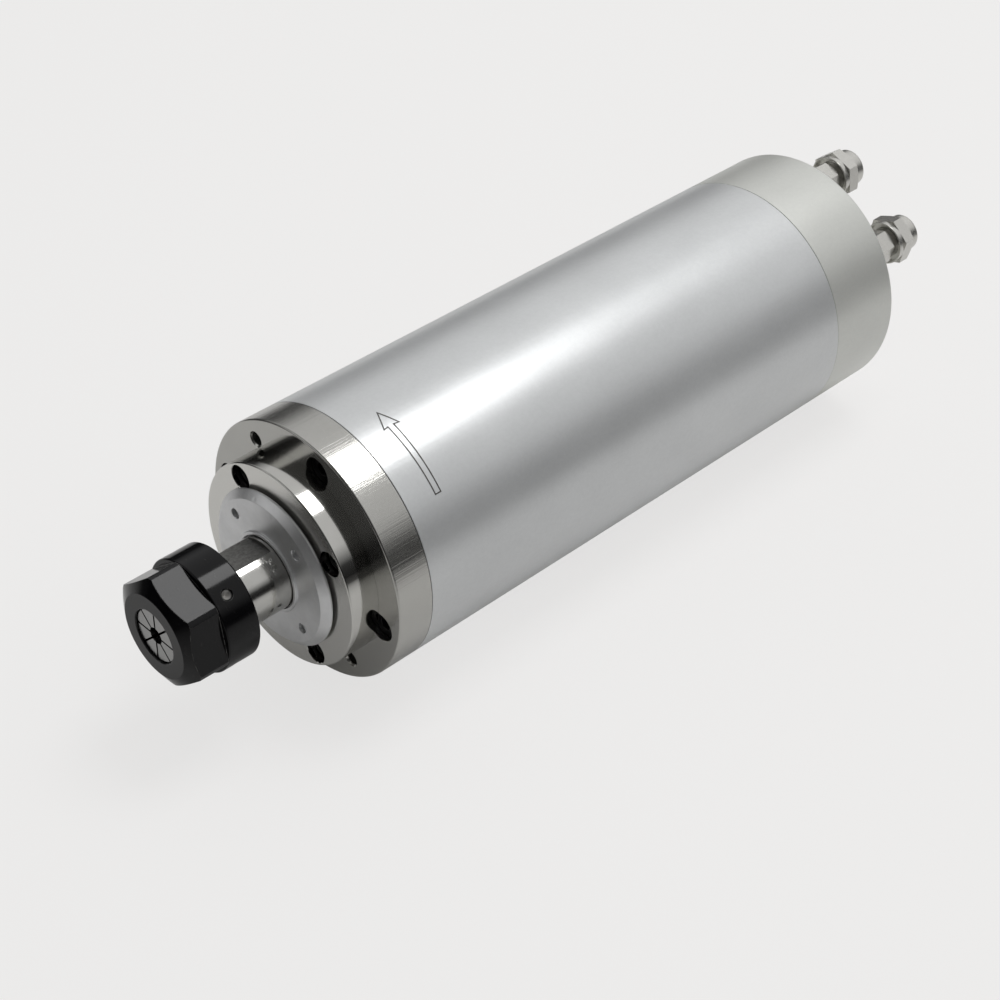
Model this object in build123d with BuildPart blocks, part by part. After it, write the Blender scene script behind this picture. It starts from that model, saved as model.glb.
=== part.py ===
from build123d import *
import os
from math import cos, pi, radians, sin, tan

# Water-cooled motor spindle, lying along Y with the nose toward -Y.
# The origin is the centre of the flange face, +Z is up and sizes are in mm.

# Housing
body_radius = 32.5
flange_thickness = 9.6
tube_length = 141.1
rear_cap_length = 22.3
tube_wall = 3.0
tube_edge = 0.15
outer_edge = 0.5
spigot_length = 3.0
seat_clearance = 0.03

# Gland, the stepped boss that holds the front bearings
gland_height = 7.5
gland_edge = 0.4
gland_pilot = 2.0
gland_seat = 0.3  # depth of the turned seat in the flange, and the chamfer of the gland's foot
gland_land = 2.3
labyrinth_gap = 0.5
gland_screw_wall = 2.67
gland_hole_margin = 0.65
gland_hole_depth = 5.0
gland_hole_angle = 31.5

# Screws: thread radius, head radius, head height and socket across flats
small_thread = 1.5
small_head = 2.75
small_head_height = 3.0
small_socket = 2.5
small_shank = 9.0
large_thread = 2.0
large_head = 3.5
large_head_height = 4.0
large_socket = 3.0
large_shank = 12.0
rear_shank = 26.0
head_clearance = 0.1
gland_head_clearance = 0.3
screw_count = 4

# Flange holes
flange_hole_margin = 2.3
flange_hole_depth = 5.6
flange_hole_angle = 75.7
jack_radius = 1.65
jack_margin = 3.2
jack_angle = 122.0
jack_count = 2

# Front bearing pair
front_bearing_bore = 8.5
front_bearing_radius = 17.5
front_bearing_width = 10.0
front_bearing_count = 2
ring_thickness = 2.8
shield_gap = 0.3
shield_thickness = 0.6
hub_wall = 4.9
hub_lip = 3.0
lip_step = 2.0

# Rear bearing
rear_bearing_bore = 6.0
rear_bearing_radius = 14.0
rear_bearing_width = 8.0
rear_plate_length = 11.2
rear_plate_recess = 0.7
spring_thickness = 1.2
spring_width = 1.8
clip_thickness = 1.1
clip_depth = 0.5
clip_height = 1.7
clip_gap = 3.0

# Shaft
shaft_radius = 9.0
shaft_shoulder = 0.6
flat_width = 16.0
flat_angle = 95.8
flat_rear_gap = 1.35
nose_radius = 11.0
nose_thread_length = 6.6
nose_edge = 0.7
relief_radius = 5.2
relief_depth = 9.0
rotor_seat = 8.0
tail_step = 1.0
tail_length = 7.0
locknut_length = 7.0
locknut_wall = 4.0
locknut_slot = 3.0
locknut_slot_depth = 1.4

# Dust cover
cover_radius = 19.7
cover_gap = 0.7
cover_thickness = 2.1
cover_round = 1.6
cover_arc = 2.56
cover_flat_margin = 1.8
cover_hub_wall = 2.5
bead_height = 0.6
bead_width = 0.85
bead_gap = 0.25
pin_hole_radius = 1.25
pin_hole_depth = 1.2
pin_circle = 14.8
pin_angle = 46.0
pin_count = 4

# Collet, size 16 of ISO 15488
collet_radius = 8.5
collet_length = 27.5
collet_angle = 8.0
collet_face_radius = 6.45
collet_face_angle = 30.0
collet_front_land = 7.9
collet_land_width = 0.5
groove_radius = 6.9
groove_width = 2.0
groove_slope = 0.5
rear_land_width = 0.8
mouth_radius = 8.0
tool_radius = 2.0
tool_clearance = 0.01
slit_width = 0.4
slit_count = 8
slit_angle = -1.5
slit_stop = 3.2
taper_clearance = 0.04
socket_gap = 1.0

# Collet nut
nut_gap = 13.4
nut_collar_radius = 14.0
nut_collar_length = 8.7
nut_hex_width = 24.9
nut_hex_length = 9.5
nut_hex_angle = 68.6
nut_face_radius = 10.4
nut_face_angle = 30.0
nut_opening = 6.64
nut_edge = 0.5
nut_recess = 0.5
thread_clearance = 0.1
nut_front_gap = 0.5
nut_chamber_gap = 0.4
ring_pocket = 9.3
ring_radius = 9.2
ring_width = 1.2
ring_hole = 7.75
ring_offset = 0.65
ring_setback = 0.4
dimple_radius = 1.45
dimple_tip = 0.1
dimple_angle = 46.0
dimple_count = 4
dimple_setback = 4.9

# Motor
jacket_wall = 5.5
channel_depth = 3.2
channel_rib = 3.0
channel_count = 8
channel_start = 17.0
channel_end = 13.9
channel_slot = 12.0
seal_radius = 0.75
seal_inset = 8.0
bore_ratio = 0.595
slot_count = 12
slot_width = 4.0
slot_back = 3.1
slot_inset = 1.6
slot_clearance = 0.1
end_turn_length = 10.0
end_turn_gap = 1.7
front_motor_gap = 13.0
rear_motor_gap = 4.5
air_gap = 0.3
end_ring_length = 4.5
end_ring_step = 0.4

# Rear cap
cavity_radius = 20.0
rear_wall = 5.0
rear_hole_margin = 2.0
rear_hole_depth = 4.6
rear_hole_angle = 59.2

# Hose fittings
fitting_circle = 25.5
fitting_angles = (85.7, 32.7)
fitting_turns = (8.0, 48.0)  # where one hexagon flat of each fitting faces
fitting_thread = 3.85  # pipe thread G 1/16
fitting_thread_length = 7.0
base_hex_width = 8.4
base_hex_length = 7.3
nipple_radius = 4.0
nipple_length = 5.2
water_radius = 2.1
hose_radius = 3.0
hose_clearance = 0.1
hose_seat = 5.0
hose_nut_gap = 0.9
hose_nut_width = 11.5
hose_nut_rim = 1.5  # round collar before the hexagon
rim_edge = 0.15
hose_nut_hex = 5.2
hose_nut_length = 8.7
hose_nut_collar = 4.9
hose_nut_mouth = 5.4
hose_nut_recess = 1.2
hose_nut_wall = 1.0
ferrule_wall = 0.55
ferrule_length = 3.0
ferrule_edge = 0.2
ferrule_taper = 0.6

# Panel connector
connector_circle = 10.0
connector_angle = -120.8
connector_radius = 8.0
connector_reach = 10.0
connector_flange = 10.2
connector_flange_thickness = 2.0
connector_wall = 1.3
connector_inner = 5.5
insulator_length = 8.0
insulator_depth = 6.0
pin_radius = 0.8
pin_length = 14.0
contact_circle = 3.6
contact_count = 4
key_width = 1.6
key_height = 0.9
connector_nut_radius = 9.4
connector_nut_length = 3.2
barrel_gap = 1.0
pin_setback = 1.0


def across(y):
    """Plane across the spindle axis at y, with local x along X and local y along Z."""
    return Plane.XZ.offset(-y)


def off_axis(circle, angle):
    """Centre on a circle about the axis, as X and Z."""
    return circle * cos(radians(angle)), circle * sin(radians(angle))


def profile_plane(x, z):
    """Plane that holds a radius and y profile for an axis at x, z."""
    return Plane(origin=(x, 0, z), x_dir=(1, 0, 0), z_dir=(0, 0, 1))


def turned(points, x=0.0, z=0.0):
    """Solid turned about the line parallel to Y through x, z from radius and y points."""
    with BuildPart() as blank:
        with BuildSketch(profile_plane(x, z)):
            with BuildLine():
                Polyline(*points, close=True)
            make_face()
        revolve(axis=Axis((x, 0, z), (0, 1, 0)))
    return blank.part


def ring(inner, outer, front, rear, x=0.0, z=0.0):
    """Plain ring between two radii and two stations."""
    return turned([(inner, front), (outer, front), (outer, rear), (inner, rear)], x, z)


def cap_screws(size, shank_length, circle, angle, seat, toward):
    """Socket head cap screws on a circle, heads seated at y = seat.

    size is thread radius, head radius, head height and socket width; toward is 1 when
    the heads point to the nose and -1 when they point to the rear.
    """
    thread, head, height, socket = size
    with BuildPart() as screws:
        with BuildSketch(across(seat)):
            with PolarLocations(circle, screw_count, angle):
                Circle(head)
        extrude(amount=toward * height)
        with BuildSketch(across(seat)):
            with PolarLocations(circle, screw_count, angle):
                Circle(thread)
        extrude(amount=-toward * shank_length)
        with BuildSketch(across(seat - toward * height)):
            with PolarLocations(circle, screw_count, angle):
                RegularPolygon(socket / 2, 6, major_radius=False)
        extrude(amount=-toward * height / 2, mode=Mode.SUBTRACT)
    return screws.part


def save(part, name):
    """Label a finished piece and write it as its own file."""
    part.label = name
    export_step(part, f"parts/{name}.step")


os.makedirs("parts", exist_ok=True)

# Stations along the axis, from nose to rear
tube_front = flange_thickness
tube_rear = tube_front + tube_length
body_rear = tube_rear + rear_cap_length
gland_face = -gland_height
cover_rear = gland_face - cover_gap
cover_face = cover_rear - cover_thickness
bearing_front = gland_pilot
bearing_rear = bearing_front + front_bearing_count * front_bearing_width
hub_rear = bearing_rear + hub_lip
jacket_front = tube_front + spigot_length
plate_rear = tube_rear - spigot_length
plate_front = plate_rear - rear_plate_length
rear_bearing_front = plate_front + rear_plate_recess
rear_bearing_end = rear_bearing_front + rear_bearing_width
spring_end = rear_bearing_end + spring_thickness
stator_start = hub_rear + front_motor_gap + end_turn_length
stator_end = plate_front - rear_motor_gap - end_turn_length
stator_length = stator_end - stator_start
cavity_rear = body_rear - rear_wall
shaft_step = cover_face + shaft_shoulder

# Radii that follow from the walls
tube_bore = body_radius - tube_wall
spigot_radius = tube_bore - seat_clearance
hub_radius = front_bearing_radius + hub_wall
hub_bore = front_bearing_radius + seat_clearance
cover_hub = front_bearing_bore + cover_hub_wall
gland_bore = cover_hub + labyrinth_gap
small_hole = small_head + gland_head_clearance
large_hole = large_head + head_clearance
gland_circle = hub_bore + gland_screw_wall + small_thread
gland_radius = gland_circle + small_hole + gland_hole_margin
flange_circle = body_radius - flange_hole_margin - large_hole
jack_circle = body_radius - jack_margin - jack_radius
rear_circle = body_radius - rear_hole_margin - large_hole
stator_radius = spigot_radius - jacket_wall
stator_bore = bore_ratio * stator_radius
rotor_radius = stator_bore - air_gap
small_size = (small_thread, small_head, small_head_height, small_socket)
large_size = (large_thread, large_head, large_head_height, large_socket)
fitting_centres = [off_axis(fitting_circle, angle) for angle in fitting_angles]

# Front flange: end face, spigot into the tube and the hub that seats the bearing pair
with BuildPart() as front_flange:
    add(turned([
        (hub_bore, gland_seat), (gland_radius + seat_clearance, gland_seat),
        (gland_radius + seat_clearance, 0), (body_radius - outer_edge, 0),
        (body_radius, outer_edge), (body_radius, tube_front - tube_edge),
        (body_radius - tube_edge, tube_front),
        (spigot_radius, tube_front), (spigot_radius, jacket_front),
        (hub_radius, jacket_front), (hub_radius, hub_rear),
        (front_bearing_radius - lip_step, hub_rear),
        (front_bearing_radius - lip_step, bearing_rear), (hub_bore, bearing_rear),
    ]))
    with Locations(across(0)):
        with PolarLocations(flange_circle, screw_count, flange_hole_angle):
            CounterBoreHole(large_thread + seat_clearance, large_hole, flange_hole_depth,
                            flange_hole_depth + large_shank)
        with PolarLocations(jack_circle, jack_count, jack_angle):
            Hole(jack_radius, jacket_front)
        with PolarLocations(gland_circle, screw_count, gland_hole_angle):
            Hole(small_thread + seat_clearance, small_shank)
save(front_flange.part, "front_flange")

# Gland: polished boss with four deep counterbores and a pilot on the outer rings
with BuildPart() as front_gland:
    add(turned([
        (gland_bore, gland_face), (gland_radius - gland_edge, gland_face),
        (gland_radius, gland_face + gland_edge), (gland_radius, 0),
        (gland_radius - gland_seat, gland_seat), (front_bearing_radius, gland_seat),
        (front_bearing_radius, bearing_front),
        (front_bearing_radius - gland_land, bearing_front),
        (front_bearing_radius - gland_land, gland_seat), (gland_bore, gland_seat),
    ]))
    with Locations(across(gland_face)):
        with PolarLocations(gland_circle, screw_count, gland_hole_angle):
            CounterBoreHole(small_thread + seat_clearance, small_hole, gland_hole_depth,
                            gland_height + gland_seat)
save(front_gland.part, "front_gland")

gland_screws = cap_screws(small_size, small_shank, gland_circle, gland_hole_angle,
                          gland_face + gland_hole_depth, 1)
save(gland_screws, "gland_screws")
flange_screws = cap_screws(large_size, large_shank, flange_circle, flange_hole_angle,
                           flange_hole_depth, 1)
save(flange_screws, "flange_screws")

# Outer tube, fine bevels at both joints
with BuildPart() as outer_tube:
    add(turned([
        (tube_bore, tube_front), (body_radius - tube_edge, tube_front),
        (body_radius, tube_front + tube_edge), (body_radius, tube_rear - tube_edge),
        (body_radius - tube_edge, tube_rear), (tube_bore, tube_rear),
    ]))
save(outer_tube.part, "outer_tube")

# Water jacket: ring channels joined by slots that change sides, and two seal grooves
seal_stations = (jacket_front + seal_inset, plate_front - seal_inset)
channel_span = plate_front - channel_end - jacket_front - channel_start
channel_width = (channel_span - (channel_count - 1) * channel_rib) / channel_count
channel_pitch = channel_width + channel_rib
channel_stations = [jacket_front + channel_start + channel_pitch * i + channel_width / 2
                    for i in range(channel_count)]
hub_pocket = hub_radius + seat_clearance
with BuildPart() as water_jacket:
    add(turned([
        (hub_pocket, jacket_front), (spigot_radius, jacket_front),
        (spigot_radius, plate_front), (stator_radius, plate_front),
        (stator_radius, hub_rear), (hub_pocket, hub_rear),
    ]))
    with BuildSketch(Plane.XY):
        with Locations(*[(spigot_radius, y) for y in channel_stations]):
            Rectangle(2 * channel_depth, channel_width)
        with Locations(*[(spigot_radius, y) for y in seal_stations]):
            Rectangle(4 * seal_radius, 3 * seal_radius)
    revolve(axis=Axis.Y, mode=Mode.SUBTRACT)
    for index, y in enumerate(channel_stations[:-1]):
        slot_angle = fitting_angles[0] + 180 * (index % 2)
        with BuildSketch(across(y)):
            with PolarLocations(spigot_radius, 1, slot_angle):
                Rectangle(2 * channel_depth, channel_slot)
        extrude(amount=-channel_pitch, mode=Mode.SUBTRACT)
    with BuildSketch(across(plate_front)):
        with Locations(*fitting_centres):
            Circle(water_radius)
    extrude(amount=plate_front - channel_stations[-1], mode=Mode.SUBTRACT)
    with BuildSketch(across(jacket_front)):
        with PolarLocations(flange_circle, screw_count, flange_hole_angle):
            Circle(large_thread + seat_clearance)
    extrude(amount=-large_shank, mode=Mode.SUBTRACT)
save(water_jacket.part, "water_jacket")

# Seals: one round ring in each jacket groove
with BuildPart() as tube_seals:
    with BuildSketch(Plane.XY):
        with Locations(*[(tube_bore - seal_radius - seat_clearance, y) for y in seal_stations]):
            Circle(seal_radius)
    revolve(axis=Axis.Y)
save(tube_seals.part, "tube_seals")

# Stator: slotted core, and the winding as bars between two end turns
end_turn_inner = stator_bore + slot_inset
slot_height = stator_radius - slot_back - end_turn_inner
bar_circle = end_turn_inner + slot_height / 2
with BuildPart() as stator_core:
    with BuildSketch(across(stator_start)):
        Circle(stator_radius - seat_clearance)
        Circle(stator_bore, mode=Mode.SUBTRACT)
        with PolarLocations(bar_circle, slot_count):
            Rectangle(slot_height, slot_width, mode=Mode.SUBTRACT)
        with PolarLocations(bar_circle - slot_height / 2, slot_count):
            Rectangle(2 * slot_inset + slot_clearance, slot_width / 2, mode=Mode.SUBTRACT)
    extrude(amount=-stator_length)
save(stator_core.part, "stator_core")

with BuildPart() as stator_winding:
    for front, rear in ((stator_start - end_turn_length, stator_start),
                        (stator_end, stator_end + end_turn_length)):
        add(ring(end_turn_inner, stator_radius - end_turn_gap, front, rear))
    with BuildSketch(across(stator_start)):
        with PolarLocations(bar_circle, slot_count):
            Rectangle(slot_height - 2 * slot_clearance, slot_width - 2 * slot_clearance)
    extrude(amount=-stator_length)
save(stator_winding.part, "stator_winding")

# Rotor: laminated core and cast end rings on the shaft seat
with BuildPart() as rotor_core:
    add(ring(rotor_seat, rotor_radius, stator_start, stator_end))
save(rotor_core.part, "rotor_core")

with BuildPart() as rotor_end_rings:
    for front, rear in ((stator_start - end_ring_length, stator_start),
                        (stator_end, stator_end + end_ring_length)):
        add(ring(rotor_seat, rotor_radius - end_ring_step, front, rear))
save(rotor_end_rings.part, "rotor_end_rings")


def inner_ring(bore, front, width):
    """Inner ring of a shielded bearing."""
    return ring(bore, bore + ring_thickness, front, front + width)


def outer_ring(bore, outer, front, width):
    """Outer ring of a shielded bearing, with its two shields a little below the faces."""
    shield_bore = bore + ring_thickness + shield_gap
    race = outer - ring_thickness
    first = front + shield_gap
    last = front + width - shield_gap
    return turned([
        (race, front), (outer, front), (outer, front + width), (race, front + width),
        (race, last), (shield_bore, last), (shield_bore, last - shield_thickness),
        (race, last - shield_thickness), (race, first + shield_thickness),
        (shield_bore, first + shield_thickness), (shield_bore, first), (race, first),
    ])


for number in range(1, front_bearing_count + 1):
    front = bearing_front + (number - 1) * front_bearing_width
    with BuildPart() as front_inner:
        add(inner_ring(front_bearing_bore, front, front_bearing_width))
    save(front_inner.part, f"front_bearing_{number}_inner")
    with BuildPart() as front_outer:
        add(outer_ring(front_bearing_bore, front_bearing_radius, front, front_bearing_width))
    save(front_outer.part, f"front_bearing_{number}_outer")

with BuildPart() as rear_bearing_inner_ring:
    add(inner_ring(rear_bearing_bore, rear_bearing_front, rear_bearing_width))
save(rear_bearing_inner_ring.part, "rear_bearing_inner_ring")

with BuildPart() as rear_bearing_outer_ring:
    add(outer_ring(rear_bearing_bore, rear_bearing_radius, rear_bearing_front,
                   rear_bearing_width))
save(rear_bearing_outer_ring.part, "rear_bearing_outer_ring")

# Locknut behind the front bearings, with spanner slots in its rim
locknut_radius = front_bearing_bore + locknut_wall
with BuildPart() as bearing_locknut:
    add(ring(front_bearing_bore, locknut_radius, bearing_rear, bearing_rear + locknut_length))
    with BuildSketch(across(bearing_rear)):
        with PolarLocations(locknut_radius, screw_count):
            Rectangle(2 * locknut_slot_depth, locknut_slot)
    extrude(amount=-locknut_length, mode=Mode.SUBTRACT)
save(bearing_locknut.part, "bearing_locknut")

# Rear bearing plate, preload spring and the clip that holds the bearing on the shaft
plate_bore = rear_bearing_radius + seat_clearance
with BuildPart() as rear_bearing_plate:
    add(turned([
        (plate_bore, plate_front), (spigot_radius, plate_front),
        (spigot_radius, plate_rear), (rear_bearing_radius - spring_width, plate_rear),
        (rear_bearing_radius - spring_width, spring_end), (plate_bore, spring_end),
    ]))
    with BuildSketch(across(plate_front)):
        with Locations(*fitting_centres):
            Circle(water_radius)
        with PolarLocations(rear_circle, screw_count, rear_hole_angle):
            Circle(large_thread + seat_clearance)
    extrude(amount=-rear_plate_length, mode=Mode.SUBTRACT)
save(rear_bearing_plate.part, "rear_bearing_plate")

with BuildPart() as preload_spring:
    add(ring(rear_bearing_radius - spring_width, rear_bearing_radius, rear_bearing_end,
             spring_end))
save(preload_spring.part, "preload_spring")

clip_groove = rear_bearing_bore - clip_depth
with BuildPart() as shaft_clip:
    add(ring(clip_groove, clip_groove + clip_height, rear_bearing_end,
             rear_bearing_end + clip_thickness))
    with BuildSketch(across(rear_bearing_end)):
        with Locations((rear_bearing_bore, 0)):
            Rectangle(2 * clip_height, clip_gap)
    extrude(amount=-clip_thickness, mode=Mode.SUBTRACT)
save(shaft_clip.part, "shaft_clip")

# Collet stations: the mouth of the shaft taper fixes where the collet sits
taper = tan(radians(collet_angle))
face_taper = tan(radians(collet_face_angle))
nut_rear = cover_face - nut_gap
nut_hex_rear = nut_rear - nut_collar_length
nut_face = nut_hex_rear - nut_hex_length
collet_face = nut_face + nut_recess
front_land_start = collet_face + (collet_front_land - collet_face_radius) / face_taper
groove_front = front_land_start + collet_land_width
groove_rear = groove_front + groove_width
land_front = groove_rear + groove_slope
land_rear = land_front + rear_land_width
collet_rear = collet_face + collet_length
collet_end_radius = collet_radius - (collet_rear - land_rear) * taper
nose_face = land_rear + (collet_radius - mouth_radius) / taper
nose_rear = nose_face + nose_thread_length
socket_end = collet_rear + socket_gap

# Spindle shaft: taper socket, threaded nose, spanner flats, bearing and rotor seats
def socket_radius(y):
    """Radius of the taper socket at y."""
    return collet_radius - (y - land_rear) * taper + taper_clearance / cos(radians(collet_angle))


bearing_step = rear_bearing_bore + tail_step
shaft_end = rear_bearing_end + tail_length
with BuildPart() as spindle_shaft:
    add(turned([
        (socket_radius(nose_face), nose_face), (nose_radius - nose_edge, nose_face),
        (nose_radius, nose_face + nose_edge), (nose_radius, nose_rear - nose_edge),
        (nose_radius - nose_edge, nose_rear), (shaft_radius, nose_rear),
        (shaft_radius, shaft_step), (front_bearing_bore, shaft_step),
        (front_bearing_bore, bearing_rear + locknut_length),
        (rotor_seat, bearing_rear + locknut_length),
        (rotor_seat, stator_end + end_ring_length),
        (bearing_step, stator_end + end_ring_length), (bearing_step, rear_bearing_front),
        (rear_bearing_bore, rear_bearing_front), (rear_bearing_bore, rear_bearing_end),
        (clip_groove, rear_bearing_end), (clip_groove, rear_bearing_end + clip_thickness),
        (rear_bearing_bore, rear_bearing_end + clip_thickness), (rear_bearing_bore, shaft_end),
        (0, shaft_end), (0, socket_end + relief_depth), (relief_radius, socket_end + relief_depth),
        (relief_radius, socket_end), (socket_radius(socket_end), socket_end),
    ]))
    flat_rear = cover_face - flat_rear_gap
    with BuildSketch(across(nose_rear)):
        with PolarLocations(flat_width / 2 + shaft_radius, 2, flat_angle):
            Rectangle(2 * shaft_radius, 4 * shaft_radius)
    extrude(amount=nose_rear - flat_rear, mode=Mode.SUBTRACT)
save(spindle_shaft.part, "spindle_shaft")

# Dust cover: rounded disc with pin holes, a bead round the shaft and a hub on the bearing
cover_flat = cover_radius - cover_flat_margin
bead_inner = shaft_radius + bead_gap
with BuildPart() as dust_cover:
    with BuildSketch(Plane.XY):
        with BuildLine():
            Polyline(
                (cover_radius, cover_face + cover_round), (cover_radius, cover_rear),
                (cover_hub, cover_rear), (cover_hub, bearing_front),
                (front_bearing_bore, bearing_front), (front_bearing_bore, shaft_step),
                (bead_inner, shaft_step), (bead_inner, cover_face - bead_height),
                (bead_inner + bead_width, cover_face - bead_height),
                (bead_inner + bead_width, cover_face), (cover_flat, cover_face),
            )
            RadiusArc((cover_flat, cover_face), (cover_radius, cover_face + cover_round),
                      cover_arc)
        make_face()
    revolve(axis=Axis.Y)
    with Locations(across(cover_face)):
        with PolarLocations(pin_circle, pin_count, pin_angle):
            Hole(pin_hole_radius, pin_hole_depth)
save(dust_cover.part, "dust_cover")

# Collet: double taper sleeve with a groove, slit from both ends in turn
with BuildPart() as collet:
    add(turned([
        (tool_radius + tool_clearance, collet_face), (collet_face_radius, collet_face),
        (collet_front_land, front_land_start), (collet_front_land, groove_front),
        (groove_radius, groove_front), (groove_radius, groove_rear),
        (collet_radius, land_front), (collet_radius, land_rear),
        (collet_end_radius, collet_rear), (tool_radius + tool_clearance, collet_rear),
    ]))
    slit_length = collet_length - slit_stop
    with BuildSketch(across(collet_face)):
        with PolarLocations(collet_radius / 2 + tool_radius / 2, slit_count, slit_angle):
            Rectangle(collet_radius, slit_width)
    extrude(amount=-slit_length, mode=Mode.SUBTRACT)
    with BuildSketch(across(collet_rear)):
        with PolarLocations(collet_radius / 2 + tool_radius / 2, slit_count,
                            slit_angle + 180 / slit_count):
            Rectangle(collet_radius, slit_width)
    extrude(amount=slit_length, mode=Mode.SUBTRACT)
save(collet.part, "collet")

# Collet nut: round collar, chamfered hexagon, inner cone and pocket for the ring
cone_clearance = taper_clearance / cos(radians(collet_face_angle))
cone_start = collet_face + (nut_opening - collet_face_radius - cone_clearance) / face_taper
ring_front = groove_front + ring_setback
pocket_front = ring_front - seat_clearance
cone_end = collet_face_radius + cone_clearance + (pocket_front - collet_face) * face_taper
chamber_radius = collet_radius + nut_chamber_gap
nut_bore = nose_radius + thread_clearance
pocket_rear = ring_front + ring_width + seat_clearance
chamber_rear = nose_face - nut_front_gap
with BuildPart() as collet_nut:
    with BuildSketch(across(nut_hex_rear)):
        RegularPolygon(nut_hex_width / 2, 6, major_radius=False, rotation=nut_hex_angle - 30)
    extrude(amount=nut_hex_length)
    chamfer_depth = (nut_collar_radius - nut_face_radius) * tan(radians(nut_face_angle))
    add(turned([
        (0, nut_face), (nut_face_radius, nut_face),
        (nut_collar_radius, nut_face + chamfer_depth), (nut_collar_radius, nut_rear),
        (0, nut_rear),
    ]), mode=Mode.INTERSECT)
    add(turned([
        (0, nut_hex_rear), (nut_collar_radius - nut_edge, nut_hex_rear),
        (nut_collar_radius, nut_hex_rear + nut_edge), (nut_collar_radius, nut_rear - nut_edge),
        (nut_collar_radius - nut_edge, nut_rear), (0, nut_rear),
    ]))
    add(turned([
        (0, nut_face), (nut_opening, nut_face), (nut_opening, cone_start),
        (cone_end, pocket_front), (ring_pocket, pocket_front), (ring_pocket, pocket_rear),
        (chamber_radius, pocket_rear), (chamber_radius, chamber_rear),
        (nut_bore, chamber_rear), (nut_bore, nut_rear), (0, nut_rear),
    ]), mode=Mode.SUBTRACT)
    for index in range(dimple_count):
        angle = radians(dimple_angle + 360 / dimple_count * index)
        outward = Vector(cos(angle), 0, sin(angle))
        centre = outward * nut_collar_radius + Vector(0, nut_rear - dimple_setback, 0)
        with Locations(Plane(centre, x_dir=(0, 1, 0), z_dir=outward)):
            Cone(dimple_tip, dimple_radius, dimple_radius,
                 align=(Align.CENTER, Align.CENTER, Align.MAX), mode=Mode.SUBTRACT)
save(collet_nut.part, "collet_nut")

# Eccentric ring in the nut that draws the collet out by its groove
with BuildPart() as extraction_ring:
    with BuildSketch(across(ring_front)):
        Circle(ring_radius)
        with Locations((ring_offset, 0)):
            Circle(ring_hole, mode=Mode.SUBTRACT)
    extrude(amount=-ring_width)
save(extraction_ring.part, "extraction_ring")

# Rear cap: closed end with a wiring space, screw holes, water ports and a connector hole
connector_centre = off_axis(connector_circle, connector_angle)
with BuildPart() as rear_cap:
    add(turned([
        (cavity_radius, plate_rear), (spigot_radius, plate_rear), (spigot_radius, tube_rear),
        (body_radius - tube_edge, tube_rear), (body_radius, tube_rear + tube_edge),
        (body_radius, body_rear - outer_edge), (body_radius - outer_edge, body_rear),
        (0, body_rear), (0, cavity_rear), (cavity_radius, cavity_rear),
    ]))
    with BuildSketch(across(body_rear)):
        with PolarLocations(rear_circle, screw_count, rear_hole_angle):
            Circle(large_hole)
    extrude(amount=rear_hole_depth, mode=Mode.SUBTRACT)
    with BuildSketch(across(plate_rear)):
        with PolarLocations(rear_circle, screw_count, rear_hole_angle):
            Circle(large_thread + seat_clearance)
        with Locations(*fitting_centres):
            Circle(water_radius)
        with Locations(connector_centre):
            Circle(connector_radius + seat_clearance)
    extrude(amount=plate_rear - body_rear, mode=Mode.SUBTRACT)
    with BuildSketch(across(body_rear)):
        with Locations(*fitting_centres):
            Circle(fitting_thread + seat_clearance)
    extrude(amount=fitting_thread_length, mode=Mode.SUBTRACT)
save(rear_cap.part, "rear_cap")

rear_cap_screws = cap_screws(large_size, rear_shank, rear_circle, rear_hole_angle,
                             body_rear - rear_hole_depth, -1)
save(rear_cap_screws, "rear_cap_screws")

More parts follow.
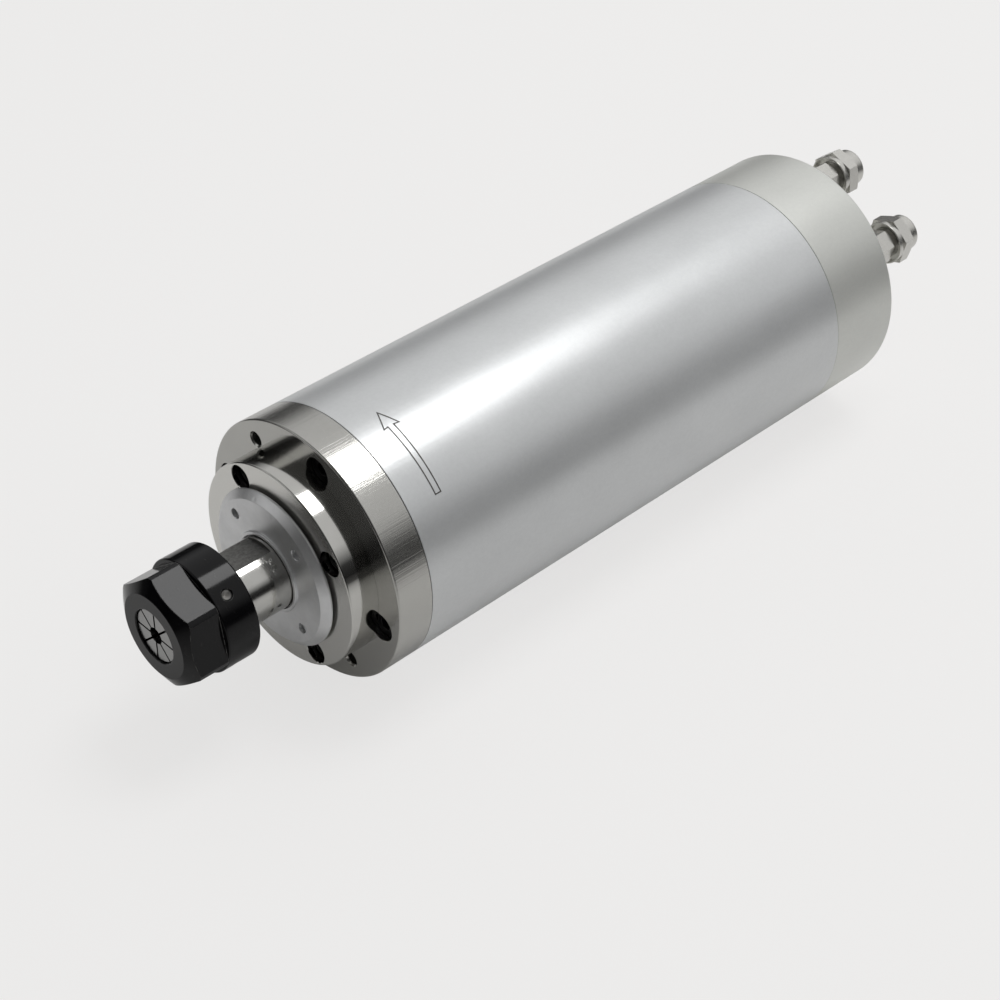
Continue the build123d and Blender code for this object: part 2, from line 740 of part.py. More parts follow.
# Hose fittings: threaded base with hexagon and nipple, ferrule and union nut
base_top = body_rear + base_hex_length
nipple_end = base_top + nipple_length
union_front = base_top + hose_nut_gap
union_rear = union_front + hose_nut_length
union_hex_rear = union_front + hose_nut_hex
union_bore = nipple_radius + thread_clearance
hose_bore = hose_radius + hose_clearance
ferrule_outer = hose_bore + ferrule_wall
ferrule_front = nipple_end + thread_clearance
ferrule_rear = ferrule_front + ferrule_length
for number, ((x, z), turn) in enumerate(zip(fitting_centres, fitting_turns), start=1):
    with BuildPart() as fitting_base:
        with BuildSketch(across(body_rear)):
            with Locations((x, z)):
                RegularPolygon(base_hex_width / 2, 6, major_radius=False, rotation=turn - 30)
        extrude(amount=-base_hex_length)
        add(ring(0, fitting_thread, body_rear - fitting_thread_length, body_rear, x, z))
        add(ring(0, nipple_radius, base_top, nipple_end, x, z))
        with BuildSketch(across(body_rear - fitting_thread_length)):
            with Locations((x, z)):
                Circle(water_radius)
        extrude(amount=body_rear - fitting_thread_length - nipple_end, mode=Mode.SUBTRACT)
        with BuildSketch(across(nipple_end)):
            with Locations((x, z)):
                Circle(hose_bore)
        extrude(amount=hose_seat, mode=Mode.SUBTRACT)
    save(fitting_base.part, f"fitting_base_{number}")

    with BuildPart() as hose_ferrule:
        add(turned([
            (hose_bore, ferrule_front), (ferrule_outer - ferrule_edge, ferrule_front),
            (ferrule_outer, ferrule_front + ferrule_taper),
            (ferrule_outer, ferrule_rear - ferrule_taper),
            (ferrule_outer - ferrule_edge, ferrule_rear), (hose_bore, ferrule_rear),
        ], x, z))
    save(hose_ferrule.part, f"hose_ferrule_{number}")

    with BuildPart() as hose_nut:
        with BuildSketch(across(union_front)):
            with Locations((x, z)):
                RegularPolygon(hose_nut_width / 2, 6, major_radius=False, rotation=turn - 30)
        extrude(amount=-hose_nut_hex)
        corner = hose_nut_width / 2 / cos(pi / 6)
        edge = (corner - hose_nut_width / 2) * tan(radians(nut_face_angle))
        add(turned([
            (0, union_front), (hose_nut_width / 2 - rim_edge, union_front),
            (hose_nut_width / 2, union_front + rim_edge),
            (hose_nut_width / 2, union_front + hose_nut_rim),
            (corner, union_front + hose_nut_rim),
            (corner, union_hex_rear - edge), (hose_nut_width / 2, union_hex_rear),
            (0, union_hex_rear),
        ], x, z), mode=Mode.INTERSECT)
        add(turned([
            (0, union_hex_rear), (hose_nut_collar, union_hex_rear),
            (hose_nut_collar, union_rear - nut_edge), (hose_nut_collar - nut_edge, union_rear),
            (0, union_rear),
        ], x, z))
        add(turned([
            (0, union_front), (hose_nut_mouth, union_front),
            (hose_nut_mouth, union_front + hose_nut_recess),
            (union_bore, union_front + hose_nut_recess), (union_bore, nipple_end),
            (ferrule_outer + thread_clearance, nipple_end),
            (ferrule_outer + thread_clearance, union_rear - hose_nut_wall),
            (hose_bore, union_rear - hose_nut_wall), (hose_bore, union_rear), (0, union_rear),
        ], x, z), mode=Mode.SUBTRACT)
    save(hose_nut.part, f"hose_nut_{number}")

# Panel connector: keyed barrel with a flange, insulator, contacts and its nut inside
cx, cz = connector_centre
barrel_front = cavity_rear - connector_nut_length - barrel_gap
barrel_rear = body_rear + connector_reach
socket_bore = connector_radius - connector_wall
insulator_rear = barrel_rear - insulator_depth
insulator_front = insulator_rear - insulator_length
with BuildPart() as connector_shell:
    add(turned([
        (connector_inner, barrel_front), (connector_radius, barrel_front),
        (connector_radius, body_rear), (connector_flange, body_rear),
        (connector_flange, body_rear + connector_flange_thickness),
        (connector_radius, body_rear + connector_flange_thickness),
        (connector_radius, barrel_rear), (socket_bore, barrel_rear),
        (socket_bore, insulator_front), (connector_inner, insulator_front),
    ], cx, cz))
    with BuildSketch(across(barrel_rear)):
        with Locations((cx, cz + socket_bore)):
            Rectangle(key_width, 2 * key_height)
    extrude(amount=insulator_depth)
save(connector_shell.part, "connector_shell")

with BuildPart() as connector_insulator:
    add(ring(0, socket_bore - seat_clearance, insulator_front, insulator_rear, cx, cz))
    with BuildSketch(across(insulator_front)):
        with Locations((cx, cz)):
            with PolarLocations(contact_circle, contact_count):
                Circle(pin_radius + seat_clearance)
    extrude(amount=-insulator_length, mode=Mode.SUBTRACT)
save(connector_insulator.part, "connector_insulator")

with BuildPart() as connector_pins:
    with BuildSketch(across(insulator_front - pin_setback)):
        with Locations((cx, cz)):
            with PolarLocations(contact_circle, contact_count):
                Circle(pin_radius)
    extrude(amount=-pin_length)
save(connector_pins.part, "connector_pins")

with BuildPart() as connector_nut:
    add(ring(connector_radius + seat_clearance, connector_nut_radius,
             cavity_rear - connector_nut_length, cavity_rear, cx, cz))
save(connector_nut.part, "connector_nut")
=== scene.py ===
from functools import cache
from math import atan2, cos, degrees, pi, radians, sin, tan
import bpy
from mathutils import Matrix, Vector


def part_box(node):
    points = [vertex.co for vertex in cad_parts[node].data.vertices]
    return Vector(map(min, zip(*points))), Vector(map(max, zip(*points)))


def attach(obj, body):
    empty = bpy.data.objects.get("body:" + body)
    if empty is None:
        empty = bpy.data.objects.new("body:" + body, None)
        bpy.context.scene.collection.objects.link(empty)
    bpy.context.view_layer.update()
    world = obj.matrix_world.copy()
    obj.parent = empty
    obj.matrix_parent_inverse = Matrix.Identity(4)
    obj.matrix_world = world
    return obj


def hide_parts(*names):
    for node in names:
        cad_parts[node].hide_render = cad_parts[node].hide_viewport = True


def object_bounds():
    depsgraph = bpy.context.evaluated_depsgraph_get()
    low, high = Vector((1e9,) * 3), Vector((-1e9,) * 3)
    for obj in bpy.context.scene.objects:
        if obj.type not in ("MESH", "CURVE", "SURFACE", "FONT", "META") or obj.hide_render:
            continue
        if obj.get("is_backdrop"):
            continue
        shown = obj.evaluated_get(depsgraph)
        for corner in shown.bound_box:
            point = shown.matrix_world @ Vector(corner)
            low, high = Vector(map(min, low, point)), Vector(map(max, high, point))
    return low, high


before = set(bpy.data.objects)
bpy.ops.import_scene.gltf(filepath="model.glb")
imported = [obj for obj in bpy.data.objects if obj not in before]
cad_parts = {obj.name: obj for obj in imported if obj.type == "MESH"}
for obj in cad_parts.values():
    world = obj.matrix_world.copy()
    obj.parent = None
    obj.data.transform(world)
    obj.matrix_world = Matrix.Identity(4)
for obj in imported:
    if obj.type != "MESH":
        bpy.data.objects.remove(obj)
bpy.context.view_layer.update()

from types import SimpleNamespace

import bmesh
import bpy
from bpy.props import FloatProperty, FloatVectorProperty, IntProperty, PointerProperty
from bpy.types import Operator, Panel, PropertyGroup
from mathutils import Matrix, Vector

bl_info = {
    "name": "Motor spindle",
    "version": (1, 0, 0),
    "blender": (4, 5, 0),
    "location": "3D View > Sidebar > Spindle",
    "description": "Dresses the motor spindle: housing, nose, fittings, finishes and studio",
    "category": "Object",
}

MM = 0.001               # shapes are drawn in millimetres and scaled when placed
CLOSE = 1e-4             # two points nearer than this are one
OVERSHOOT = 1.0          # how far a cutter passes the surface that it opens
FIT = 0.03               # clearance of a hole round the piece that it holds
ROUND_STEPS = 5          # segments of a rounded corner
SCREW_STEPS, HOLE_STEPS, PIN_STEPS = 64, 72, 40      # steps round small turned pieces
FITTING_STEPS, BARREL_STEPS = 96, 128
THREAD_ROWS = 10         # rows of vertices to each turn of a thread
SMOOTH_ANGLE = 32.0      # edges sharper than this many degrees stay sharp
FACETED_ANGLE = 24.0     # the same on pieces with shallow chamfers


# Settings

def cad(node):
    """Centre, ends and outer radius of a CAD node, in millimetres."""
    low, high = (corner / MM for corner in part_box(node))
    return SimpleNamespace(x=(low.x + high.x) / 2, z=(low.z + high.z) / 2,
                           front=low.y, rear=high.y, radius=(high.x - low.x) / 2)


def length(label, text, default):
    """Length setting with its default in millimetres."""
    return FloatProperty(name=label, description=text, default=default * MM,
                         precision=5, subtype="DISTANCE", unit="LENGTH")


def turn(label, text, default):
    """Angle setting with its default in degrees."""
    return FloatProperty(name=label, description=text, default=radians(default),
                         subtype="ANGLE", unit="ROTATION")


def share(label, text, default):
    """Setting between 0 and 1."""
    return FloatProperty(name=label, description=text, default=default,
                         min=0.0, max=1.0, subtype="FACTOR")


def tone(label, text, default):
    """Colour setting, linear."""
    return FloatVectorProperty(name=label, description=text, default=default,
                               min=0.0, max=1.0, size=3, subtype="COLOR")


def point(label, text, default):
    """Place in the scene, in metres."""
    return FloatVectorProperty(name=label, description=text, default=default,
                               size=3, subtype="XYZ", unit="LENGTH")


def values_of(group):
    """Settings of a group, lengths in millimetres and angles in degrees."""
    found = {}
    for key, prop in group.bl_rna.properties.items():
        if key in {"rna_type", "name"}:
            continue
        value = getattr(group, key)
        if prop.type == "FLOAT" and prop.array_length == 0:
            value = {"LENGTH": value / MM, "ROTATION": degrees(value)}.get(prop.unit, value)
        found[key] = value
    return SimpleNamespace(**found)


class HousingSizes(PropertyGroup):
    """Sizes of the tube, flange, gland, rear cap and their screws."""
    steps: IntProperty(name="Steps", description="Steps round a turned piece", default=192,
                       min=48, max=384)
    edge: length("Edge", "Bevel on the outer rims", 0.5)
    joint_edge: length("Joint edge", "Fine bevel at the joints of the tube", 0.15)
    break_edge: length("Broken edge", "Small break on holes and inner edges", 0.12)
    spigot_radius: length("Spigot radius", "Spigot of flange and cap in the tube", 29.47)
    tube_bore: length("Tube bore", "Inner radius of the tube", 29.5)
    spigot_length: length("Spigot length", "Reach of the spigots into the tube", 3.0)
    flange_thickness: length("Flange thickness", "From its face to the tube",
                             cad("outer_tube").front)
    hub_radius: length("Hub radius", "Bearing hub behind the flange", 22.4)
    hub_bore: length("Hub bore", "Seat of the bearing pair", 17.53)
    hub_lip: length("Hub lip", "Bore of the lip behind the bearings", 15.5)
    hub_rear: length("Hub end", "Station where the hub ends", 25.0)
    bearing_rear: length("Bearing end", "Station where the bearing pair ends", 22.0)
    flange_hole: length("Flange hole", "Counterbore radius of the flange screws", 3.6)
    flange_hole_depth: length("Flange hole depth", "Depth of those counterbores", 5.6)
    flange_circle: length("Flange circle", "Circle of the flange screws", 26.6)
    flange_angle: turn("Flange angle", "First flange screw, from X toward Z", 75.7)
    jack_hole: length("Jack hole", "Radius of the two jack threads", 1.65)
    jack_circle: length("Jack circle", "Circle of the jack threads", 27.65)
    jack_angle: turn("Jack angle", "First jack thread", 122.0)
    jack_pitch: length("Jack pitch", "Thread pitch of the jack holes", 0.7)
    jack_thread: length("Jack thread", "Thread depth of the jack holes", 0.35)
    jack_lip: length("Jack lip", "Countersink of the jack holes", 0.4)
    gland_edge: length("Gland edge", "Bevel round the gland's face", 0.4)
    gland_bore: length("Gland bore", "Bore round the cover's hub", 11.5)
    gland_pilot: length("Gland pilot", "Reach of the pilot onto the bearing", 2.0)
    gland_seat: length("Gland seat", "Depth of the gland's seat in the flange", 0.3)
    gland_land: length("Gland land", "Inner radius of the pilot", 15.2)
    gland_hole: length("Gland hole", "Counterbore radius of the gland screws", 3.05)
    gland_hole_depth: length("Gland hole depth", "Depth of those counterbores", 5.0)
    gland_circle: length("Gland circle", "Circle of the gland screws", 21.7)
    gland_angle: turn("Gland angle", "First gland screw", 31.5)
    small_thread: length("Small thread", "Thread radius of the gland screws", 1.5)
    small_head: length("Small head", "Head radius of the gland screws", 2.75)
    small_height: length("Small head height", "Head height of the gland screws", 3.0)
    small_socket: length("Small socket", "Socket width of the gland screws", 2.5)
    small_shank: length("Small shank", "Shank length of the gland screws", 9.0)
    large_thread: length("Large thread", "Thread radius of flange and cap screws", 2.0)
    large_head: length("Large head", "Head radius of those screws", 3.5)
    large_height: length("Large head height", "Head height of those screws", 4.0)
    large_socket: length("Large socket", "Socket width of those screws", 3.0)
    large_shank: length("Flange shank", "Shank length of the flange screws", 12.0)
    rear_shank: length("Rear shank", "Shank length of the rear screws", 26.0)
    rear_circle: length("Rear circle", "Circle of the rear screws", 26.9)
    rear_hole_depth: length("Rear hole depth", "Depth of the rear counterbores", 4.6)
    rear_angle: turn("Rear angle", "First rear screw", 59.2)
    cavity_radius: length("Cavity radius", "Wiring space in the rear cap", 20.0)
    cavity_rear: length("Cavity end", "Station of the rear wall", 168.0)
    arrow_line: length("Arrow line", "Width of the arrow's engraved line", 0.3)


class NoseSizes(PropertyGroup):
    """Sizes of the cover, shaft, collet nut and collet."""
    cover_bevel: length("Cover bevel", "Width of the bevel on the cover's rim", 1.8)
    cover_rim: length("Cover rim", "Height of that bevel", 1.6)
    cover_hub: length("Cover hub", "Hub radius behind the cover", 11.0)
    cover_disc: length("Cover disc", "Station of the disc's rear face", -8.2)
    bead_inner: length("Bead inner", "Inner radius of the bead", 9.25)
    bead_outer: length("Bead outer", "Outer radius of the bead", 10.1)
    bead_height: length("Bead height", "Height of the bead", 0.6)
    pin_hole: length("Pin hole", "Radius of the spanner holes", 1.25)
    pin_depth: length("Pin depth", "Depth of the spanner holes", 1.2)
    pin_circle: length("Pin circle", "Circle of the spanner holes", 14.8)
    pin_angle: turn("Pin angle", "First spanner hole", 46.0)
    shaft_radius: length("Shaft radius", "Shaft between cover and nose", 9.0)
    bearing_bore: length("Bearing bore", "Shaft under the front bearings", 8.5)
    shaft_step: length("Shaft step", "Station where the shaft widens", -9.7)
    flat_width: length("Flat width", "Width across the spanner flats", 16.0)
    flat_angle: turn("Flat angle", "Direction that a flat faces", 95.8)
    flat_rear: length("Flat end", "Station where the flats end", -11.65)
    nose_rear: length("Nose end", "Station where the threaded nose ends", -24.931)
    nose_edge: length("Nose edge", "Bevel at both ends of the nose", 0.7)
    nose_pitch: length("Nose pitch", "Thread pitch of the nose", 1.5)
    thread_depth: length("Thread depth", "Depth of the nose thread", 0.75)
    collet_mouth: length("Collet mouth", "Radius of the taper at the nose", 8.0)
    socket_rear: length("Socket end", "Radius where the taper ends", 5.42)
    socket_end: length("Socket station", "Station where the taper ends", -12.9)
    relief: length("Relief", "Bore radius behind the taper", 5.2)
    relief_end: length("Relief end", "Station where that bore ends", -3.9)
    rotor_seat: length("Rotor seat", "Shaft under the rotor", 8.0)
    rotor_front: length("Rotor front", "Station where the rotor seat begins", 29.0)
    rotor_rear: length("Rotor rear", "Station where the rotor seat ends", 126.5)
    tail_step: length("Tail step", "Shaft radius before the rear bearing", 7.0)
    tail_radius: length("Tail radius", "Shaft in the rear bearing", 6.0)
    tail_front: length("Tail front", "Station of the rear bearing", 137.2)
    clip_front: length("Clip front", "Station of the clip groove", 145.2)
    clip_width: length("Clip width", "Width of the clip groove", 1.1)
    clip_depth: length("Clip depth", "Depth of the clip groove", 0.5)
    nut_hex_rear: length("Hexagon end", "Station where hexagon meets collar", -32.4)
    nut_hex: length("Hexagon width", "Width across the hexagon", 24.9)
    nut_hex_angle: turn("Hexagon angle", "Direction that a hexagon flat faces", 68.6)
    nut_face: length("Nut face", "Radius of the nut's flat face", 10.4)
    nut_chamfer: turn("Nut chamfer", "Slope of the chamfer on the hexagon", 30.0)
    nut_opening: length("Nut opening", "Radius of the nut's mouth", 6.64)
    nut_cone: length("Nut cone", "Station where the inner cone begins", -41.151)
    nut_cone_end: length("Cone radius", "Radius where the cone ends", 8.448)
    pocket_front: length("Pocket front", "Front of the ring's pocket", -38.019)
    pocket_rear: length("Pocket rear", "Rear of the ring's pocket", -36.759)
    pocket: length("Pocket radius", "Radius of the ring's pocket", 9.3)
    chamber: length("Chamber radius", "Space round the collet", 8.9)
    chamber_rear: length("Chamber end", "Station where the thread begins", -32.031)
    nut_bore: length("Nut bore", "Bore of the nut on the nose", 11.1)
    dimple: length("Dimple", "Radius of the dimples in the collar", 1.45)
    dimple_angle: turn("Dimple angle", "First dimple", 46.0)
    dimple_station: length("Dimple station", "Station of the dimples", -28.6)
    tool_bore: length("Tool bore", "Radius that the collet grips", 2.01)
    collet_face: length("Collet face", "Radius of the collet's face", 6.45)
    front_land: length("Front land", "Radius of the collet before its groove", 7.9)
    land_front: length("Land front", "Station where the front land begins", -38.889)
    groove_front: length("Groove front", "Front of the collet's groove", -38.389)
    groove_rear: length("Groove rear", "Rear of the collet's groove", -36.389)
    groove: length("Groove", "Radius of the groove", 6.9)
    collet_radius: length("Collet radius", "Largest radius of the collet", 8.5)
    rear_land: length("Rear land", "Station where the rear land begins", -35.889)
    rear_land_end: length("Rear land end", "Station where the long taper begins", -35.089)
    collet_end: length("Collet end", "Radius of the collet's rear end", 5.52)
    slit: length("Slit", "Width of the collet's slits", 0.5)
    slit_angle: turn("Slit angle", "First front slit", -1.5)
    slit_length: length("Slit length", "Length of the slits", 24.3)


class FittingSizes(PropertyGroup):
    """Sizes of the hose fittings and the panel connector."""
    base_hex: length("Base hexagon", "Width across the base's hexagon", 8.4)
    base_length: length("Base length", "Length of the base's hexagon", 7.3)
    thread: length("Fitting thread", "Thread radius in the cap", 3.85)
    nipple: length("Nipple", "Thread radius of the nipple", 4.0)
    water: length("Water bore", "Radius of the water way", 2.1)
    hose: length("Hose seat", "Radius of the hose seat", 3.1)
    hose_seat: length("Seat depth", "Depth of the hose seat", 5.0)
    pitch: length("Fitting pitch", "Thread pitch of fittings and connector", 1.0)
    thread_depth: length("Fitting thread depth", "Thread depth of the nipple", 0.5)
    nut_hex: length("Union hexagon", "Width across the union nut", 11.5)
    nut_hex_length: length("Union flats", "Length of its hexagon", 5.2)
    nut_collar: length("Union collar", "Radius of its round end", 4.9)
    nut_mouth: length("Union mouth", "Radius of its open front", 5.4)
    nut_recess: length("Union recess", "Depth of that opening", 1.2)
    nut_rim: length("Union rim", "Length of the round rim before its hexagon", 1.5)
    turn_1: turn("First turn", "Direction that a flat of the first fitting faces", 8.0)
    turn_2: turn("Second turn", "Direction that a flat of the second fitting faces", 48.0)
    nut_bore: length("Union bore", "Bore over the nipple", 4.1)
    nut_wall: length("Union wall", "Wall at the hose end", 1.0)
    ferrule_space: length("Ferrule space", "Bore over the ferrule", 3.75)
    ferrule_bore: length("Ferrule bore", "Bore of the ferrule", 3.1)
    ferrule_edge: length("Ferrule edge", "Taper at the ferrule's ends", 0.2)
    ferrule_taper: length("Ferrule taper", "Length of those tapers", 0.6)
    barrel: length("Barrel", "Radius of the connector's barrel", 8.0)
    barrel_bore: length("Barrel bore", "Bore of the barrel", 6.7)
    barrel_inner: length("Barrel inner", "Bore behind the insulator", 5.5)
    barrel_flange: length("Connector flange", "Thickness of its flange", 2.0)
    insulator_front: length("Insulator front", "Station of the insulator's inner end", 169.0)
    key_width: length("Key width", "Width of the keyway", 1.6)
    key_height: length("Key height", "Depth of the keyway", 0.9)
    pin_radius: length("Contact", "Radius of a contact", 0.8)
    pin_circle: length("Contact circle", "Circle of the contacts", 3.6)


class FinishTones(PropertyGroup):
    """Colours and gloss of the visible finishes."""
    tube: tone("Tube", "Ground steel of the tube", (0.79, 0.805, 0.81))
    tube_gloss: share("Tube roughness", "Roughness of the tube", 0.31)
    flange: tone("Flange", "Ground steel of the flange", (0.52, 0.515, 0.49))
    flange_gloss: share("Flange roughness", "Roughness of the flange's side", 0.2)
    cap: tone("Rear cap", "Turned steel of the rear cap", (0.79, 0.80, 0.762))
    gland: tone("Gland", "Polished steel of the gland", (0.56, 0.555, 0.53))
    cover: tone("Cover", "Satin aluminium of the cover", (0.86, 0.866, 0.87))
    shaft: tone("Shaft", "Polished steel of the shaft", (0.54, 0.536, 0.515))
    nut: tone("Nut", "Black oxide of the nut and screws", (0.003, 0.003, 0.0035))
    collet: tone("Collet", "Ground spring steel of the collet", (0.36, 0.36, 0.355))
    nickel: tone("Nickel", "Plating of the hose fittings", (0.70, 0.69, 0.655))
    zinc: tone("Zinc", "Plating of the connector", (0.60, 0.61, 0.63))
    plastic: tone("Plastic", "Moulding of the insulator", (0.015, 0.015, 0.017))
    gold: tone("Gold", "Plating of the contacts", (0.83, 0.60, 0.24))
    mark: tone("Mark", "Laser mark of the arrow", (0.11, 0.105, 0.10))


class StageSettings(PropertyGroup):
    """Camera, floor and lamps."""
    camera: point("Camera", "Place of the camera", (0.2915, -0.2202, 0.2993))
    aim: point("Aim", "Direction of the camera", (-0.5655, 0.5466, -0.6176))
    lens: FloatProperty(name="Lens", description="Focal length on a 36 mm frame",
                        default=74.908, subtype="DISTANCE_CAMERA")
    floor: tone("Floor", "Colour of floor and background", (0.90, 0.893, 0.886))
    floor_height: length("Floor height", "Height of the floor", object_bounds()[0].z / MM)
    top_lamp: FloatProperty(name="Top lamp", description="Power of the overhead lamp",
                            default=4.1, subtype="POWER", unit="POWER")
    nose_lamp: FloatProperty(name="Nose lamp", description="Power of the lamp at the nose",
                             default=1.3, subtype="POWER", unit="POWER")
    sky: share("Sky", "Level of the surrounding light", 0.9)


GROUPS = {"spindle_housing": HousingSizes, "spindle_nose": NoseSizes,
          "spindle_fittings": FittingSizes, "spindle_tones": FinishTones,
          "spindle_stage": StageSettings}


def settings(name):
    """One group of settings of the open scene, by its short name."""
    return values_of(getattr(bpy.context.scene, f"spindle_{name}"))


# Shapes

def lathe(points, x=0.0, z=0.0, steps=None, threads=()):
    """Closed body turned about the line parallel to Y through x, z.

    A point is a radius and a y, then where its corner is rounded the length of the round
    and its profile. A thread is a radius, front, rear, pitch and depth; a negative depth
    stands out from the radius.
    """
    bm = bmesh.new()
    corners = [bm.verts.new((x + p[0], p[1], z)) for p in points]
    bm.faces.new(corners)
    for corner, (_, _, *rounding) in zip(corners, points):
        if rounding:
            bmesh.ops.bevel(bm, geom=[corner], offset=rounding[0], offset_type="OFFSET",
                            segments=ROUND_STEPS, profile=(rounding[1:] or [0.5])[0],
                            affect="VERTICES", material=-1)
    bmesh.ops.delete(bm, geom=bm.faces[:], context="FACES_ONLY")
    on_axis = [e for e in bm.edges if all(abs(v.co.x - x) < CLOSE for v in e.verts)]
    bmesh.ops.delete(bm, geom=on_axis, context="EDGES")
    for radius, front, rear, pitch, _ in threads:
        along = [e for e in bm.edges if all(
            abs(v.co.x - x - radius) < CLOSE and front - CLOSE < v.co.y < rear + CLOSE
            for v in e.verts)]
        bmesh.ops.subdivide_edges(bm, edges=along,
                                   cuts=round((rear - front) / pitch * THREAD_ROWS))
    bmesh.ops.spin(bm, geom=bm.verts[:] + bm.edges[:], cent=(x, 0, z), axis=(0, 1, 0),
                   dvec=(0, 0, 0), angle=2 * pi, use_merge=True,
                   steps=steps or settings("housing").steps)
    bmesh.ops.remove_doubles(bm, verts=bm.verts[:], dist=CLOSE)
    bmesh.ops.recalc_face_normals(bm, faces=bm.faces[:])
    for radius, front, rear, pitch, depth in threads:
        cut_thread(bm, x, z, radius, front, rear, pitch, depth)
    return bm


def cut_thread(bm, x, z, radius, front, rear, pitch, depth):
    """Moves the rows of a turned surface to a helix that fades at both ends."""
    for v in bm.verts:
        off = Vector((v.co.x - x, 0, v.co.z - z))
        if abs(off.length - radius) < CLOSE and front - CLOSE < v.co.y < rear + CLOSE:
            phase = (v.co.y / pitch - atan2(off.z, off.x) / (2 * pi)) % 1
            fade = min(1, (v.co.y - front) / pitch, (rear - v.co.y) / pitch)
            drop = depth * max(0, fade) * min(1, 1.25 * (1 - abs(2 * phase - 1)))
            v.co -= off.normalized() * drop


def swing(bm, verts, angle):
    """Turns vertices about the spindle axis, from X toward Z."""
    bmesh.ops.rotate(bm, verts=verts, cent=(0, 0, 0),
                     matrix=Matrix.Rotation(-radians(angle), 3, "Y"))


def around(bm, count, first, centre=(0.0, 0.0)):
    """Repeats all that is in a bmesh round the axis at centre, the first copy at an angle."""
    x, z = centre
    bmesh.ops.translate(bm, verts=bm.verts[:], vec=(-x, 0, -z))
    swing(bm, bm.verts[:], first)
    one = bm.verts[:] + bm.edges[:] + bm.faces[:]
    for index in range(1, count):
        copy = bmesh.ops.duplicate(bm, geom=one)["geom"]
        swing(bm, [g for g in copy if isinstance(g, bmesh.types.BMVert)],
              360 / count * index)
    bmesh.ops.translate(bm, verts=bm.verts[:], vec=(x, 0, z))
    return bm


def prism(sides, width, front, rear, x=0.0, z=0.0, angle=0.0):
    """Regular prism along Y, one flat facing the angle."""
    bm = bmesh.new()
    bmesh.ops.create_circle(bm, cap_ends=True, segments=sides,
                            radius=width / 2 / cos(pi / sides))
    bmesh.ops.rotate(bm, verts=bm.verts[:], cent=(0, 0, 0),
                     matrix=Matrix.Rotation(pi / 2, 3, "X"))
    swing(bm, bm.verts[:], angle)
    bmesh.ops.translate(bm, verts=bm.verts[:], vec=(x, front, z))
    grown = bmesh.ops.extrude_face_region(bm, geom=bm.faces[:])["geom"]
    bmesh.ops.translate(bm, vec=(0, rear - front, 0),
                        verts=[g for g in grown if isinstance(g, bmesh.types.BMVert)])
    bmesh.ops.recalc_face_normals(bm, faces=bm.faces[:])
    return bm


def block(size, centre):
    """Box of a size about a centre."""
    bm = bmesh.new()
    bmesh.ops.create_cube(bm, size=1.0)
    bmesh.ops.scale(bm, verts=bm.verts[:], vec=size)
    bmesh.ops.translate(bm, verts=bm.verts[:], vec=centre)
    return bm


def ordered(bm):
    """Sorts a bmesh by place, because some operators leave a new order in each run."""
    def corners(element):
        return sorted(v.index for v in element.verts)

    for elements, key in ((bm.verts, lambda v: [round(c, 4) for c in v.co]),
                          (bm.edges, corners), (bm.faces, corners)):
        elements.index_update()
        rank = {e.index: n for n, e in enumerate(sorted(elements, key=key))}
        elements.sort(key=lambda e: rank[e.index])
        elements.index_update()
    return bm


def loose(bm, name="working"):
    """Object made from a bmesh, which it uses up."""
    mesh = bpy.data.meshes.new(name)
    bm.to_mesh(mesh)
    bm.free()
    made = bpy.data.objects.new(name, mesh)
    bpy.context.scene.collection.objects.link(made)
    return made


def carved(base, *tools):
    """Bmesh of a base after its tools, each a Boolean operation and a bmesh."""
    body = loose(ordered(base))
    helpers = []
    for operation, tool in tools:
        helpers.append(loose(ordered(tool)))
        step = body.modifiers.new(operation, "BOOLEAN")
        step.operation, step.solver, step.object = operation, "EXACT", helpers[-1]
    bpy.context.view_layer.update()
    final = body.evaluated_get(bpy.context.evaluated_depsgraph_get())
    bm = bmesh.new()
    bm.from_mesh(final.to_mesh())
    if not bm.faces:
        raise RuntimeError("a Boolean left nothing")
    for used in [body, *helpers]:
        mesh = used.data
        bpy.data.objects.remove(used)
        bpy.data.meshes.remove(mesh)
    bmesh.ops.remove_doubles(bm, verts=bm.verts[:], dist=CLOSE)
    return bm


def cutter(*corners, x=0.0, z=0.0, steps=None, threads=()):
    """Turned cutter with corners of a radius and a y; it goes past the first and the last."""
    (first, start), *middle, (last, end) = corners
    way = OVERSHOOT if start < end else -OVERSHOOT
    return lathe([(0, start - way), (first, start - way), *middle, (last, end + way),
                  (0, end + way)], x, z, steps, threads)


def counterbores(circle, count, first, mouth, hole, depth, thread, end, lip):
    """Cutter for stepped holes, open toward the nose or, with a depth below 0, the rear."""
    way = 1 if depth > 0 else -1
    bm = lathe([
        (0, mouth - way * OVERSHOOT), (hole + lip + OVERSHOOT, mouth - way * OVERSHOOT),
        (hole, mouth + way * lip), (hole, mouth + depth), (thread, mouth + depth),
        (thread, end), (0, end),
    ], x=circle, steps=HOLE_STEPS)
    return around(bm, count, first)


def place(bm, name, finish, body, slot, *nodes, angle=SMOOTH_ANGLE):
    """Piece from a bmesh in millimetres, with its finish, body and CAD nodes; slot is not used.
    """
    bmesh.ops.dissolve_degenerate(bm, dist=CLOSE, edges=bm.edges[:])
    ordered(bm)
    bmesh.ops.scale(bm, vec=(MM, MM, MM), verts=bm.verts[:])
    for face in bm.faces:
        face.smooth = True
    piece = loose(bm, name)
    piece.data.set_sharp_from_angle(angle=radians(angle))
    piece.data.materials.append(FINISHES[finish]())
    weighted = piece.modifiers.new("Weighted normals", "WEIGHTED_NORMAL")
    weighted.keep_sharp = True
    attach(piece, body)
    if nodes:
        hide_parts(*nodes)
    return piece


# Finishes

def math_method(operation):
    """Method of a signal that adds a Math node."""
    return lambda self, other: self.shading.math(operation, self, other)


